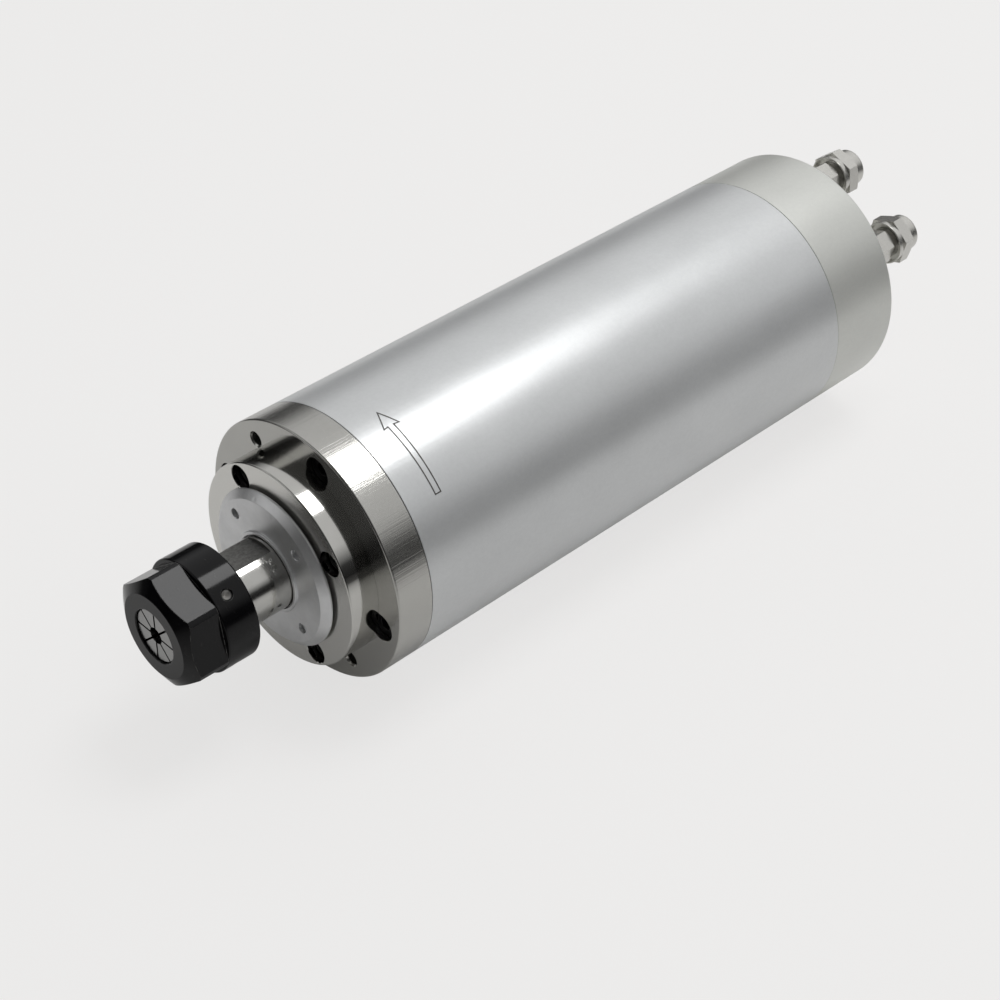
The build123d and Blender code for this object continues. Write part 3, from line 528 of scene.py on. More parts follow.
class Signal:
    """A value among the nodes; Python operators on it add Math nodes."""

    def __init__(self, shading, socket):
        self.shading, self.socket = shading, socket

    __add__ = __radd__ = math_method("ADD")
    __mul__ = __rmul__ = math_method("MULTIPLY")
    __sub__ = math_method("SUBTRACT")
    __pow__ = math_method("POWER")
    __gt__ = math_method("GREATER_THAN")
    __lt__ = math_method("LESS_THAN")

    def __rsub__(self, other):
        return self.shading.math("SUBTRACT", other, self)

    def __abs__(self):
        return self.shading.math("ABSOLUTE", self)


class Shading:
    """Node tree of a finish or of the world."""

    def __init__(self, tree):
        self.tree = tree
        tree.nodes.clear()

    def node(self, kind, options=None, inputs=None, output=0):
        """Output of a new node, after its options and then its sockets are set."""
        made = self.tree.nodes.new(kind)
        for key, value in (options or {}).items():
            setattr(made, key, value)
        for key, value in (inputs or {}).items():
            if isinstance(value, Signal):
                self.tree.links.new(value.socket, made.inputs[key])
            else:
                made.inputs[key].default_value = value
        return Signal(self, made.outputs[output])

    def end(self, kind, shader):
        """Links a shader to the output of the tree."""
        surface = self.tree.nodes.new(kind).inputs["Surface"]
        self.tree.links.new(shader.socket, surface)

    def math(self, operation, *values):
        """Math node on signals and numbers."""
        return self.node("ShaderNodeMath", {"operation": operation}, dict(enumerate(values)))

    def part(self, vector, axis):
        """One component of a vector."""
        return self.node("ShaderNodeSeparateXYZ", inputs={0: vector}, output=axis)

    def between(self, value, low, high, first=0.0, last=1.0):
        """Value mapped from a range to another, held at its ends."""
        return self.node("ShaderNodeMapRange", None,
                         {0: value, 1: low, 2: high, 3: first, 4: last})

    def mix(self, factor, first, last):
        """Colour between two others."""
        first, last = (value if isinstance(value, Signal) else (*value, 1.0)
                       for value in (first, last))
        return self.node("ShaderNodeMix", {"data_type": "RGBA"},
                         {0: factor, 6: first, 7: last}, output=2)


class Finish(Shading):
    """One procedural material and the patterns that the finishes share."""

    def __init__(self, name):
        self.material = bpy.data.materials.new(name)
        self.material.use_nodes = True
        super().__init__(self.material.node_tree)
        self.here = self.node("ShaderNodeTexCoord", output="Object")
        self.x, self.y, self.z = (self.part(self.here, axis) for axis in "XYZ")

    def noise(self, cells, detail=3.0, roughness=0.55, shift=0.0):
        """Noise between 0 and 1, with cells per millimetre, or those along X, Y and Z."""
        if not isinstance(cells, tuple):
            cells = (cells,) * 3
        moved = self.node("ShaderNodeVectorMath", {"operation": "MULTIPLY_ADD"},
                          {0: self.here, 1: tuple(c / MM for c in cells),
                           2: (shift, shift, shift)})
        return self.node("ShaderNodeTexNoise", None,
                         {"Vector": moved, "Scale": 1.0, "Detail": detail,
                          "Roughness": roughness})

    def rings(self, fineness):
        """Noise in rings about the spindle axis, cells per millimetre of radius."""
        radius = (self.x ** 2 + self.z ** 2) ** 0.5
        grain = self.noise((0.25, 0.0, 0.25))
        at = self.node("ShaderNodeCombineXYZ", None,
                       {0: radius * (fineness / MM) + grain * 0.6, 1: 0.0, 2: 0.0})
        return self.node("ShaderNodeTexNoise", {"noise_dimensions": "3D"},
                         {"Vector": at, "Scale": 1.0, "Detail": 3.0, "Roughness": 0.6})

    def facing(self):
        """1 on faces square to the spindle axis, 0 on its sides."""
        normal = self.node("ShaderNodeNewGeometry", output="True Normal")
        return abs(self.part(normal, "Y")) > 0.8

    def shaded(self, factor, colour, first, last=1.0):
        """Colour between two strengths of one."""
        return self.mix(factor, scaled(colour, first), scaled(colour, last))

    def bump(self, height, distance, **inputs):
        """Normal from a height between 0 and 1 and a depth in millimetres."""
        return self.node("ShaderNodeBump", None,
                         {"Strength": 1.0, "Distance": distance * MM, "Height": height,
                          **inputs}, output="Normal")

    def surface(self, **sockets):
        """Material of a Principled shader with these sockets."""
        inputs = {key.replace("_", " ").title().replace("Ior", "IOR"): value
                  for key, value in sockets.items()}
        self.end("ShaderNodeOutputMaterial",
                 self.node("ShaderNodeBsdfPrincipled", None, inputs, output="BSDF"))
        return self.material


def scaled(colour, factor):
    """Colour times a number."""
    return tuple(min(1.0, c * factor) for c in colour)


FINISHES = {}


def list_finish(name, maker, **looks):
    """Lists a finish by its name; it is made when it is first asked for, and only once."""
    FINISHES[name] = cache(lambda: maker(f"{name}_finish", **looks))


def finish(maker):
    """Lists a finish by the name of its function."""
    list_finish(maker.__name__, maker)
    return maker


def machined(name, colour, roughness, contrast=0.9, mottle=0.06, along=0.0, across=0.0,
             rings=0.0, scratches=0.06, joint=None, metallic=1.0, face_gloss=None):
    """Machined metal: cloudy tone, grinding lines along or across the axis, rings on faces.

    Colour and roughness are values or the names of settings. along, across and rings are
    the depths of the lines in micrometres; joint is the station of a fine joint, along
    which a thin dark line of painted shade is laid into the colour.
    """
    tones = vars(settings("tones"))
    colour, roughness = tones.get(colour, colour), tones.get(roughness, roughness)
    f = Finish(name)
    cloud = f.noise((0.05, 0.03, 0.05), detail=4.0)
    grain = f.noise((1.1, 0.9, 1.1), detail=5.0, roughness=0.7, shift=3.0)
    face = f.facing()
    long_lines = f.noise((1.5, 0.02, 1.5), detail=4.0, roughness=0.65)
    round_lines = f.noise((0.03, 3.2, 0.03), detail=4.0, roughness=0.7)
    lines = ((1.0 - face) * (long_lines * along + round_lines * across)
             + face * f.rings(3.0) * rings)
    marks = f.noise((0.35, 0.9, 0.5), detail=6.0, roughness=0.8, shift=11.0)
    scuff = f.between(marks, 0.62, 0.72)
    shade = f.between(cloud * 0.6 + grain * 0.4, 0.32, 0.68)
    tone = f.shaded(shade, colour, contrast)
    if joint is not None:
        # Painted shade: a thin dark line in the colour along the joint, standing in for the
        # shade in its groove.
        painted_joint_shade = f.between(abs(f.y - joint * MM), 0.05 * MM, 0.10 * MM, 1.0, 0.0)
        tone = f.mix(painted_joint_shade * 0.85, tone, (0.03, 0.03, 0.03))
    return f.surface(
        base_color=tone,
        metallic=metallic,
        roughness=roughness + face * ((face_gloss or roughness) - roughness)
        + (cloud - 0.5) * mottle + (grain - 0.5) * mottle + scuff * scratches,
        normal=f.bump(lines, MM))


TUBE_JOINT = cad("outer_tube").front
MACHINED = {
    "tube_steel": dict(colour="tube", roughness="tube_gloss", contrast=0.88, mottle=0.08,
                       along=14.0, across=1.0, rings=4.0, joint=TUBE_JOINT, metallic=0.4),
    "flange_steel": dict(colour="flange", roughness="flange_gloss", mottle=0.05, along=45.0,
                         across=0.8, rings=5.0, joint=TUBE_JOINT, metallic=0.9,
                         face_gloss=0.09),
    "cap_steel": dict(colour="cap", roughness=0.34, along=10.0, across=3.0, rings=8.0,
                      metallic=0.38, scratches=0.0),
    "collet_steel": dict(colour="collet", roughness=0.26, contrast=0.82, mottle=0.1,
                         across=1.6, rings=3.0, scratches=0.1),
    "fitting_nickel": dict(colour="nickel", roughness=0.24, contrast=0.92, mottle=0.04,
                           along=0.3, across=0.6, rings=0.8, scratches=0.0, metallic=0.8),
    "connector_zinc": dict(colour="zinc", roughness=0.3, contrast=0.84, mottle=0.12,
                           across=1.2, rings=2.0),
    "pin_gold": dict(colour="gold", roughness=0.16, contrast=0.8, mottle=0.1, across=1.0,
                     rings=1.0),
    "bearing_steel": dict(colour=(0.62, 0.62, 0.63), roughness=0.12, mottle=0.05,
                          across=1.0, rings=1.2),
    "rotor_aluminium": dict(colour=(0.66, 0.66, 0.67), roughness=0.42, contrast=0.75,
                            mottle=0.16, across=2.0, rings=3.0),
    "jacket_aluminium": dict(colour=(0.70, 0.70, 0.71), roughness=0.34, contrast=0.82,
                             mottle=0.12, across=3.0, rings=3.0),
}
for title, looks in MACHINED.items():
    list_finish(title, machined, **looks)


@finish
def gland_steel(name):
    """Mirror side, ground face."""
    f = Finish(name)
    colour = settings("tones").gland
    face = f.facing()
    cloud = f.noise(0.09, detail=4.0)
    fine = f.rings(5.0)
    round_lines = f.noise((0.02, 4.0, 0.02), detail=3.0, roughness=0.6)
    return f.surface(
        base_color=f.mix(face, f.shaded(f.between(cloud, 0.35, 0.65), colour, 0.93),
                         scaled(colour, 1.3)),
        metallic=1.0 - face * 0.1,
        roughness=0.07 + face * 0.15 + cloud * 0.04,
        normal=f.bump(face * fine * 8.0 + (1.0 - face) * round_lines * 2.0, MM))


@finish
def cover_aluminium(name):
    """Satin turned aluminium with small dents and handling marks."""
    f = Finish(name)
    colour = settings("tones").cover
    cloud = f.noise(0.12, detail=5.0)
    fine = f.rings(4.0)
    dents = f.node("ShaderNodeTexVoronoi", {"feature": "F1"},
                   {"Vector": f.here, "Scale": 0.22 / MM, "Randomness": 1.0})
    dent = f.between(dents, 0.05, 0.16, 1.0, 0.0)
    scratches = f.between(f.noise((0.25, 0.25, 1.6), detail=6.0, roughness=0.8), 0.60, 0.70)
    shade = f.between(cloud, 0.3, 0.7)
    return f.surface(
        base_color=f.shaded(shade, colour, 0.8),
        metallic=0.7,
        roughness=0.38 + (cloud - 0.5) * 0.12 - scratches * 0.08,
        normal=f.bump(fine * 10.0 - dent * 30.0 - scratches * 8.0, MM))


@finish
def shaft_steel(name):
    """Polished shaft with scuffs; its two spanner flats are matt and sandy."""
    f = Finish(name)
    nose = settings("nose")
    colour = settings("tones").shaft
    angle = radians(nose.flat_angle)
    offset = abs(f.x * cos(angle) + f.z * sin(angle))
    flat = ((offset > (nose.flat_width / 2 - 0.03) * MM) * (f.y > nose.nose_rear * MM)
            * (f.y < (nose.flat_rear + 0.02) * MM))
    sand = f.noise(1.1, detail=6.0, roughness=0.85)
    cloud = f.noise(0.2, detail=4.0)
    round_lines = f.noise((0.03, 2.4, 0.03), detail=4.0, roughness=0.7)
    scuff = f.between(f.noise((0.5, 1.0, 0.5), detail=6.0, roughness=0.85, shift=5.0),
                      0.58, 0.68)
    polish = f.shaded(f.between(cloud, 0.3, 0.7), colour, 0.9)
    matt = f.shaded(f.between(sand, 0.3, 0.7), colour, 0.2, 0.5)
    return f.surface(
        base_color=f.mix(flat, polish, matt),
        metallic=1.0,
        roughness=0.09 + cloud * 0.05 + scuff * 0.2 + flat * 0.4,
        normal=f.bump((1.0 - flat) * (round_lines * 3.0 + scuff * 6.0) + flat * sand * 60.0,
                      MM))


def oxide(name, roughness, wear, dimples=False):
    """Black oxide on steel: dark and oily, bright where the edges have worn."""
    f = Finish(name)
    colour = settings("tones").nut
    smooth = f.node("ShaderNodeBevel", {"samples": 6}, {"Radius": 0.25 * MM},
                    output="Normal")
    flat_normal = f.node("ShaderNodeNewGeometry", output="Normal")
    same = f.node("ShaderNodeVectorMath", {"operation": "DOT_PRODUCT"},
                  {0: smooth, 1: flat_normal}, output="Value")
    rough_patch = f.noise(0.8, detail=6.0, roughness=0.75)
    edge = f.between(1.0 - same, 0.015, 0.12) * f.between(rough_patch, 0.42, 0.66)
    cloud = f.noise(0.15, detail=4.0)
    orange = f.noise(3.0, detail=3.0, shift=7.0)
    scuffs = f.between(f.noise((0.22, 0.9, 0.22), detail=8.0, roughness=0.85, shift=4.0),
                       0.6, 0.7)
    worn = f.math("MAXIMUM", edge * wear, scuffs * 0.12)
    if dimples:
        nose = settings("nose")
        angle = radians(nose.dimple_angle)
        first = abs(f.x * cos(angle) + f.z * sin(angle))
        second = abs(f.z * cos(angle) - f.x * sin(angle))
        aside = f.math("MINIMUM", first, second)
        off = (aside ** 2 + (f.y - nose.dimple_station * MM) ** 2) ** 0.5
        bare = f.between(off, nose.dimple * 0.62 * MM, nose.dimple * 0.8 * MM, 1.0, 0.0)
        worn = f.math("MAXIMUM", worn, bare * (0.8 + rough_patch * 0.4))
        roughness = bare * 0.3 + roughness
    return f.surface(
        base_color=f.mix(worn, f.shaded(cloud, colour, 0.6, 1.8),
                         (0.66, 0.65, 0.63)),
        metallic=worn,
        roughness=roughness + (cloud - 0.5) * 0.1 + (rough_patch - 0.5) * 0.08,
        ior=1.31,
        normal=f.bump(orange, 0.0012, Normal=smooth))


list_finish("nut_black", oxide, roughness=0.11, wear=0.5, dimples=True)
list_finish("screw_black", oxide, roughness=0.32, wear=0.3)


@finish
def connector_plastic(name):
    """Moulded plastic with a fine grain."""
    f = Finish(name)
    colour = settings("tones").plastic
    grain = f.noise(4.0, detail=4.0)
    cloud = f.noise(0.4)
    return f.surface(base_color=f.shaded(cloud, colour, 0.7, 1.6),
                     roughness=0.42 + (cloud - 0.5) * 0.14,
                     normal=f.bump(grain, 0.006))


@finish
def core_steel(name):
    """Stacked laminations with dark insulation between the sheets."""
    f = Finish(name)
    sheet = f.node("ShaderNodeTexWave", {"wave_type": "BANDS", "bands_direction": "Y",
                                         "wave_profile": "SIN"},
                   {"Vector": f.here, "Scale": 0.3 / MM, "Distortion": 0.0})
    patch = f.noise(0.4, detail=5.0)
    line = f.between(sheet, 0.0, 0.25, 1.0, 0.0)
    return f.surface(base_color=f.mix(line, f.mix(patch, (0.30, 0.31, 0.34),
                                                  (0.42, 0.43, 0.45)), (0.05, 0.05, 0.06)),
                     metallic=1.0 - line * 0.6, roughness=0.38 + patch * 0.15,
                     normal=f.bump(1.0 - line, 0.02))


@finish
def winding_copper(name):
    """Enamelled wire, wound in strands under varnish."""
    f = Finish(name)
    strand = f.node("ShaderNodeTexWave", {"wave_type": "RINGS", "rings_direction": "Y"},
                    {"Vector": f.here, "Scale": 0.5 / MM, "Distortion": 3.0,
                     "Detail": 2.0, "Detail Scale": 0.4})
    patch = f.noise(0.3, detail=4.0)
    return f.surface(base_color=f.mix(strand, (0.25, 0.075, 0.03), (0.72, 0.30, 0.13)),
                     metallic=f.between(patch, 0.3, 0.7, 0.75, 1.0),
                     roughness=0.3 + patch * 0.12, normal=f.bump(strand, 0.12))


@finish
def seal_rubber(name):
    """Black rubber with a mould line and a greasy sheen."""
    f = Finish(name)
    grain = f.noise(2.5, detail=5.0)
    return f.surface(base_color=f.mix(grain, (0.010, 0.010, 0.011), (0.026, 0.026, 0.027)),
                     roughness=0.5 + grain * 0.2, normal=f.bump(grain, 0.01))


@finish
def laser_mark(name):
    """Dark laser mark, uneven like a burnt line."""
    f = Finish(name)
    colour = settings("tones").mark
    grain = f.noise(2.5, detail=4.0)
    return f.surface(base_color=f.shaded(grain, colour, 0.7, 1.4),
                     metallic=0.4, roughness=0.5 + grain * 0.15,
                     normal=f.bump(grain, 0.003))


INNER_FINISHES = {
    "bearing_steel": (
        "front_bearing_1_inner", "front_bearing_1_outer", "front_bearing_2_inner",
        "front_bearing_2_outer", "rear_bearing_inner_ring", "rear_bearing_outer_ring",
        "preload_spring", "extraction_ring"),
    "core_steel": ("stator_core", "rotor_core"),
    "winding_copper": ("stator_winding",),
    "rotor_aluminium": ("rotor_end_rings",),
    "jacket_aluminium": ("water_jacket", "rear_bearing_plate"),
    "seal_rubber": ("tube_seals",),
    "screw_black": ("bearing_locknut", "shaft_clip"),
    "connector_zinc": ("connector_nut",),
}


# Pieces

def cap_screws(name, node, size, shank, circle, first, seat, way=1):
    """Four socket head cap screws of a size; way is -1 when the heads point to the rear."""
    s = settings("housing")
    thread, head, height, socket = (getattr(s, f"{size}_{part}")
                                    for part in ("thread", "head", "height", "socket"))
    top, end = seat - way * height, seat + way * shank
    pitch, depth = 0.3 * thread + 0.1, 0.15 * thread
    bm = lathe([
        (0, top), (head, top, 0.35), (head, seat), (thread, seat),
        (thread, end, 0.3), (0, end),
    ], x=circle, steps=SCREW_STEPS,
        threads=[(thread, *sorted((seat + way, end - way * 0.3)), pitch, depth)])
    hexagon = prism(6, socket, top - way * OVERSHOOT, top + way * height / 2, x=circle,
                    angle=30)
    bm = carved(bm, ("DIFFERENCE", hexagon))
    return place(around(bm, 4, first), name, "screw_black", "housing", "screw_black", node)


class SPINDLE_OT_tube(Operator):
    """Outer tube and the rotation arrow marked on it"""
    bl_idname = "spindle.tube"
    bl_label = "Tube"

    def execute(self, context):
        s, tube = settings("housing"), cad("outer_tube")
        bm = lathe([
            (s.tube_bore, tube.front), (tube.radius - s.joint_edge, tube.front),
            (tube.radius, tube.front + s.joint_edge), (tube.radius, tube.rear - s.joint_edge),
            (tube.radius - s.joint_edge, tube.rear), (s.tube_bore, tube.rear),
        ])
        place(bm, "tube_shell", "tube_steel", "housing", "tube_steel", "outer_tube")
        self.arrow(tube.radius, s.arrow_line)
        return {"FINISHED"}

    def arrow(self, radius, width):
        """Outline of an arrow that shows the sense of rotation, wrapped on the tube.

        Its corners are angles round the tube and stations along it.
        """
        lift, thickness = 0.012, 0.03
        outline = ((80.6, 18.5), (71.2, 21.05), (71.6, 19.5), (39.1, 19.45), (39.1, 17.6),
                   (71.6, 17.55), (71.2, 16.2))
        bm = bmesh.new()
        rim = [bm.verts.new((radians(angle) * radius, y, 0)) for angle, y in outline]
        whole = bm.faces.new(rim)
        whole.normal_update()
        bmesh.ops.inset_region(bm, faces=[whole], thickness=width, use_boundary=True,
                               use_even_offset=True)
        bmesh.ops.delete(bm, geom=[whole], context="FACES_ONLY")
        for angle in range(int(min(outline)[0]) + 1, int(max(outline)[0]) + 1):
            bmesh.ops.bisect_plane(bm, geom=bm.verts[:] + bm.edges[:] + bm.faces[:],
                                   plane_co=(radians(angle) * radius, 0, 0),
                                   plane_no=(1, 0, 0), dist=CLOSE)
        for v in bm.verts:
            angle = v.co.x / radius
            v.co = ((radius + lift) * cos(angle), v.co.y, (radius + lift) * sin(angle))
        bmesh.ops.recalc_face_normals(bm, faces=bm.faces[:])
        bmesh.ops.solidify(bm, geom=bm.faces[:], thickness=thickness)
        bmesh.ops.recalc_face_normals(bm, faces=bm.faces[:])
        place(bm, "rotation_arrow", "laser_mark", "housing", "tube_steel")


class SPINDLE_OT_flange(Operator):
    """Front flange with its counterbores, jack threads and bearing hub"""
    bl_idname = "spindle.flange"
    bl_label = "Front flange"

    def execute(self, context):
        s, radius = settings("housing"), cad("front_flange").radius
        rear = s.flange_thickness
        spigot_end = rear + s.spigot_length
        seat = cad("front_gland").radius + FIT
        bm = lathe([
            (s.hub_bore, s.gland_seat), (seat, s.gland_seat), (seat, 0),
            (radius, 0, s.edge), (radius, rear - s.joint_edge),
            (radius - s.joint_edge, rear), (s.spigot_radius, rear),
            (s.spigot_radius, spigot_end), (s.hub_radius, spigot_end),
            (s.hub_radius, s.hub_rear), (s.hub_lip, s.hub_rear),
            (s.hub_lip, s.bearing_rear), (s.hub_bore, s.bearing_rear),
        ])
        end = spigot_end + OVERSHOOT
        jacks = cutter(
            (s.jack_hole + s.jack_lip + OVERSHOOT, 0), (s.jack_hole, s.jack_lip),
            (s.jack_hole, spigot_end), x=s.jack_circle, steps=PIN_STEPS,
            threads=[(s.jack_hole, s.jack_lip, end - s.jack_lip, s.jack_pitch,
                      -s.jack_thread)])
        bm = carved(
            bm,
            ("DIFFERENCE", counterbores(s.flange_circle, 4, s.flange_angle, 0, s.flange_hole,
                                        s.flange_hole_depth, s.large_thread + FIT, end,
                                        s.break_edge)),
            ("DIFFERENCE", around(jacks, 2, s.jack_angle)))
        place(bm, "flange_ring", "flange_steel", "housing", "flange_steel", "front_flange")
        cap_screws("flange_cap_screws", "flange_screws", "large", s.large_shank,
                   s.flange_circle, s.flange_angle, s.flange_hole_depth)
        return {"FINISHED"}


class SPINDLE_OT_gland(Operator):
    """Polished gland with its four deep counterbores and screws"""
    bl_idname = "spindle.gland"
    bl_label = "Gland"

    def execute(self, context):
        s, gland = settings("housing"), cad("front_gland")
        face, radius, foot = gland.front, gland.radius, s.gland_seat
        bm = lathe([
            (s.gland_bore, face, s.break_edge), (radius, face, s.gland_edge), (radius, 0),
            (radius - foot, foot), (s.hub_bore - FIT, foot),
            (s.hub_bore - FIT, s.gland_pilot), (s.gland_land, s.gland_pilot),
            (s.gland_land, foot), (s.gland_bore, foot),
        ])
        bm = carved(bm, ("DIFFERENCE", counterbores(
            s.gland_circle, 4, s.gland_angle, face, s.gland_hole, s.gland_hole_depth,
            s.small_thread + FIT, OVERSHOOT, s.break_edge)))
        place(bm, "gland_boss", "gland_steel", "housing", "gland_steel", "front_gland")
        cap_screws("gland_cap_screws", "gland_screws", "small", s.small_shank,
                   s.gland_circle, s.gland_angle, face + s.gland_hole_depth)
        return {"FINISHED"}


class SPINDLE_OT_rear_cap(Operator):
    """Rear cap with its screws, water ports and connector hole"""
    bl_idname = "spindle.rear_cap"
    bl_label = "Rear cap"

    def execute(self, context):
        s, fit = settings("housing"), settings("fittings")
        cap, tube, shell = cad("rear_cap"), cad("outer_tube"), cad("connector_shell")
        front, rear = cap.front, cap.rear
        bm = lathe([
            (s.cavity_radius, front), (s.spigot_radius, front), (s.spigot_radius, tube.rear),
            (cap.radius - s.joint_edge, tube.rear), (cap.radius, tube.rear + s.joint_edge),
            (cap.radius, rear, s.edge), (0, rear), (0, s.cavity_rear),
            (s.cavity_radius, s.cavity_rear),
        ])
        tools = [counterbores(s.rear_circle, 4, s.rear_angle, rear, s.flange_hole,
                              -s.rear_hole_depth, s.large_thread + FIT,
                              front - OVERSHOOT, s.break_edge)]
        for number in (1, 2):
            base = cad(f"fitting_base_{number}")
            tools.append(cutter(
                (fit.thread + FIT, rear), (fit.thread + FIT, base.front),
                (fit.water, base.front), (fit.water, front),
                x=base.x, z=base.z, steps=SCREW_STEPS))
        tools.append(cutter((fit.barrel + FIT, front), (fit.barrel + FIT, rear),
                            x=shell.x, z=shell.z, steps=FITTING_STEPS))
        bm = carved(bm, *[("DIFFERENCE", tool) for tool in tools])
        place(bm, "rear_cap_body", "cap_steel", "housing", "flange_steel", "rear_cap")
        cap_screws("rear_cap_cap_screws", "rear_cap_screws", "large", s.rear_shank,
                   s.rear_circle, s.rear_angle, rear - s.rear_hole_depth, way=-1)
        return {"FINISHED"}


class SPINDLE_OT_cover(Operator):
    """Dust cover that turns with the shaft, with its bead and spanner holes"""
    bl_idname = "spindle.cover"
    bl_label = "Dust cover"

    def execute(self, context):
        n, cover = settings("nose"), cad("dust_cover")
        face = cover.front + n.bead_height
        bm = lathe([
            (cover.radius - n.cover_bevel, face, 0.12),
            (cover.radius, face + n.cover_rim, 0.12), (cover.radius, n.cover_disc, 0.15),
            (n.cover_hub, n.cover_disc), (n.cover_hub, cover.rear),
            (n.bearing_bore, cover.rear), (n.bearing_bore, n.shaft_step),
            (n.bead_inner, n.shaft_step), (n.bead_inner, cover.front, 0.2),
            (n.bead_outer, cover.front, 0.3), (n.bead_outer, face, 0.12),
        ])
        holes = counterbores(n.pin_circle, 4, n.pin_angle, face, n.pin_hole,
                             n.pin_depth - 0.2, 0.5, face + n.pin_depth, 0.12)
        bm = carved(bm, ("DIFFERENCE", holes))
        place(bm, "cover_disc", "cover_aluminium", "rotor", "cover_aluminium", "dust_cover")
        return {"FINISHED"}


class SPINDLE_OT_shaft(Operator):
    """Spindle shaft with its threaded nose, taper socket and spanner flats"""
    bl_idname = "spindle.shaft"
    bl_label = "Shaft"

    def execute(self, context):
        n, shaft = settings("nose"), cad("spindle_shaft")
        nose, groove = shaft.radius, n.tail_radius - n.clip_depth
        clip_rear = n.clip_front + n.clip_width
        bm = lathe([
            (n.collet_mouth, shaft.front, 0.1), (nose - n.nose_edge, shaft.front),
            (nose, shaft.front + n.nose_edge), (nose, n.nose_rear - n.nose_edge),
            (nose - n.nose_edge, n.nose_rear), (n.shaft_radius, n.nose_rear, 0.15),
            (n.shaft_radius, n.shaft_step), (n.bearing_bore, n.shaft_step),
            (n.bearing_bore, n.rotor_front), (n.rotor_seat, n.rotor_front),
            (n.rotor_seat, n.rotor_rear), (n.tail_step, n.rotor_rear),
            (n.tail_step, n.tail_front), (n.tail_radius, n.tail_front),
            (n.tail_radius, n.clip_front), (groove, n.clip_front), (groove, clip_rear),
            (n.tail_radius, clip_rear), (n.tail_radius, shaft.rear, 0.5), (0, shaft.rear),
            (0, n.relief_end), (n.relief, n.relief_end), (n.relief, n.socket_end),
            (n.socket_rear, n.socket_end),
        ], threads=[(nose, shaft.front + n.nose_edge, n.nose_rear - n.nose_edge,
                     n.nose_pitch, n.thread_depth)])
        reach, long, tall = 8.0, n.flat_rear - n.nose_rear, 30.0
        flats = block((reach, long, tall),
                      ((n.flat_width + reach) / 2, n.nose_rear + long / 2, 0))
        bm = carved(bm, ("DIFFERENCE", around(flats, 2, n.flat_angle)))
        place(bm, "shaft_nose", "shaft_steel", "rotor", "shaft_steel", "spindle_shaft")
        return {"FINISHED"}


class SPINDLE_OT_collet_nut(Operator):
    """Collet nut: chamfered hexagon, round collar with dimples and inner cone"""
    bl_idname = "spindle.collet_nut"
    bl_label = "Collet nut"

    def execute(self, context):
        n, nut = settings("nose"), cad("collet_nut")
        radius, slope = nut.radius, tan(radians(n.nut_chamfer))
        inside = radius - 0.01
        hexagon = prism(6, n.nut_hex, nut.front, n.nut_hex_rear + 0.02,
                        angle=n.nut_hex_angle)
        chamfer = lathe([
            (0, nut.front - OVERSHOOT),
            (n.nut_face - OVERSHOOT / slope, nut.front - OVERSHOOT),
            (inside, nut.front + (inside - n.nut_face) * slope),
            (inside, nut.rear), (0, nut.rear),
        ])
        collar = lathe([
            (0, n.nut_hex_rear), (radius, n.nut_hex_rear, 0.4), (radius, nut.rear, 0.5),
            (0, nut.rear),
        ])
        inner = cutter(
            (n.nut_opening + OVERSHOOT, nut.front), (n.nut_opening + 0.15, nut.front),
            (n.nut_opening, nut.front + 0.15), (n.nut_opening, n.nut_cone),
            (n.nut_cone_end, n.pocket_front), (n.pocket, n.pocket_front),
            (n.pocket, n.pocket_rear), (n.chamber, n.pocket_rear),
            (n.chamber, n.chamber_rear), (n.nut_bore, n.chamber_rear),
            (n.nut_bore, nut.rear - 0.5), (n.nut_bore + 0.5 + OVERSHOOT, nut.rear))
        bm = carved(carved(hexagon, ("INTERSECT", chamfer)), ("UNION", collar),
                    ("DIFFERENCE", inner), ("DIFFERENCE", self.dimples(n, radius)))
        place(bm, "nut_body", "nut_black", "collet_nut_body", "nut_black", "collet_nut",
              angle=FACETED_ANGLE)
        return {"FINISHED"}

    def dimples(self, n, radius):
        """Four cones that point at the axis, drill marks for a pin spanner."""
        bm = bmesh.new()
        bmesh.ops.create_cone(bm, cap_ends=True, segments=48, radius1=0.08,
                              radius2=n.dimple * 1.5, depth=n.dimple * 1.5)
        bmesh.ops.rotate(bm, verts=bm.verts[:], cent=(0, 0, 0),
                         matrix=Matrix.Rotation(pi / 2, 3, "Y"))
        bmesh.ops.translate(bm, verts=bm.verts[:],
                            vec=(radius - n.dimple / 4, n.dimple_station, 0))
        return around(bm, 4, n.dimple_angle)


class SPINDLE_OT_collet(Operator):
    """Collet, slit from both ends in turn"""
    bl_idname = "spindle.collet"
    bl_label = "Collet"

    def execute(self, context):
        n, collet = settings("nose"), cad("collet")
        bm = lathe([
            (n.tool_bore, collet.front, 0.12), (n.collet_face, collet.front, 0.15),
            (n.front_land, n.land_front), (n.front_land, n.groove_front, 0.1),
            (n.groove, n.groove_front), (n.groove, n.groove_rear),
            (n.collet_radius, n.rear_land), (n.collet_radius, n.rear_land_end),
            (n.collet_end, collet.rear, 0.15), (n.tool_bore, collet.rear, 0.12),
        ])
        slits, inner = 8, n.tool_bore - 0.3
        reach = n.collet_radius + OVERSHOOT - inner
        tools = []
        for near, way, first in ((collet.front, 1, n.slit_angle),
                                 (collet.rear, -1, n.slit_angle + 180 / slits)):
            ends = (near - way * OVERSHOOT, near + way * n.slit_length)
            slit = block((reach, abs(ends[1] - ends[0]), n.slit),
                         (inner + reach / 2, sum(ends) / 2, 0))
            tools.append(("DIFFERENCE", around(slit, slits, first)))
        bm = carved(bm, *tools)
        place(bm, "collet_sleeve", "collet_steel", "collet_body", "collet_steel", "collet")
        return {"FINISHED"}


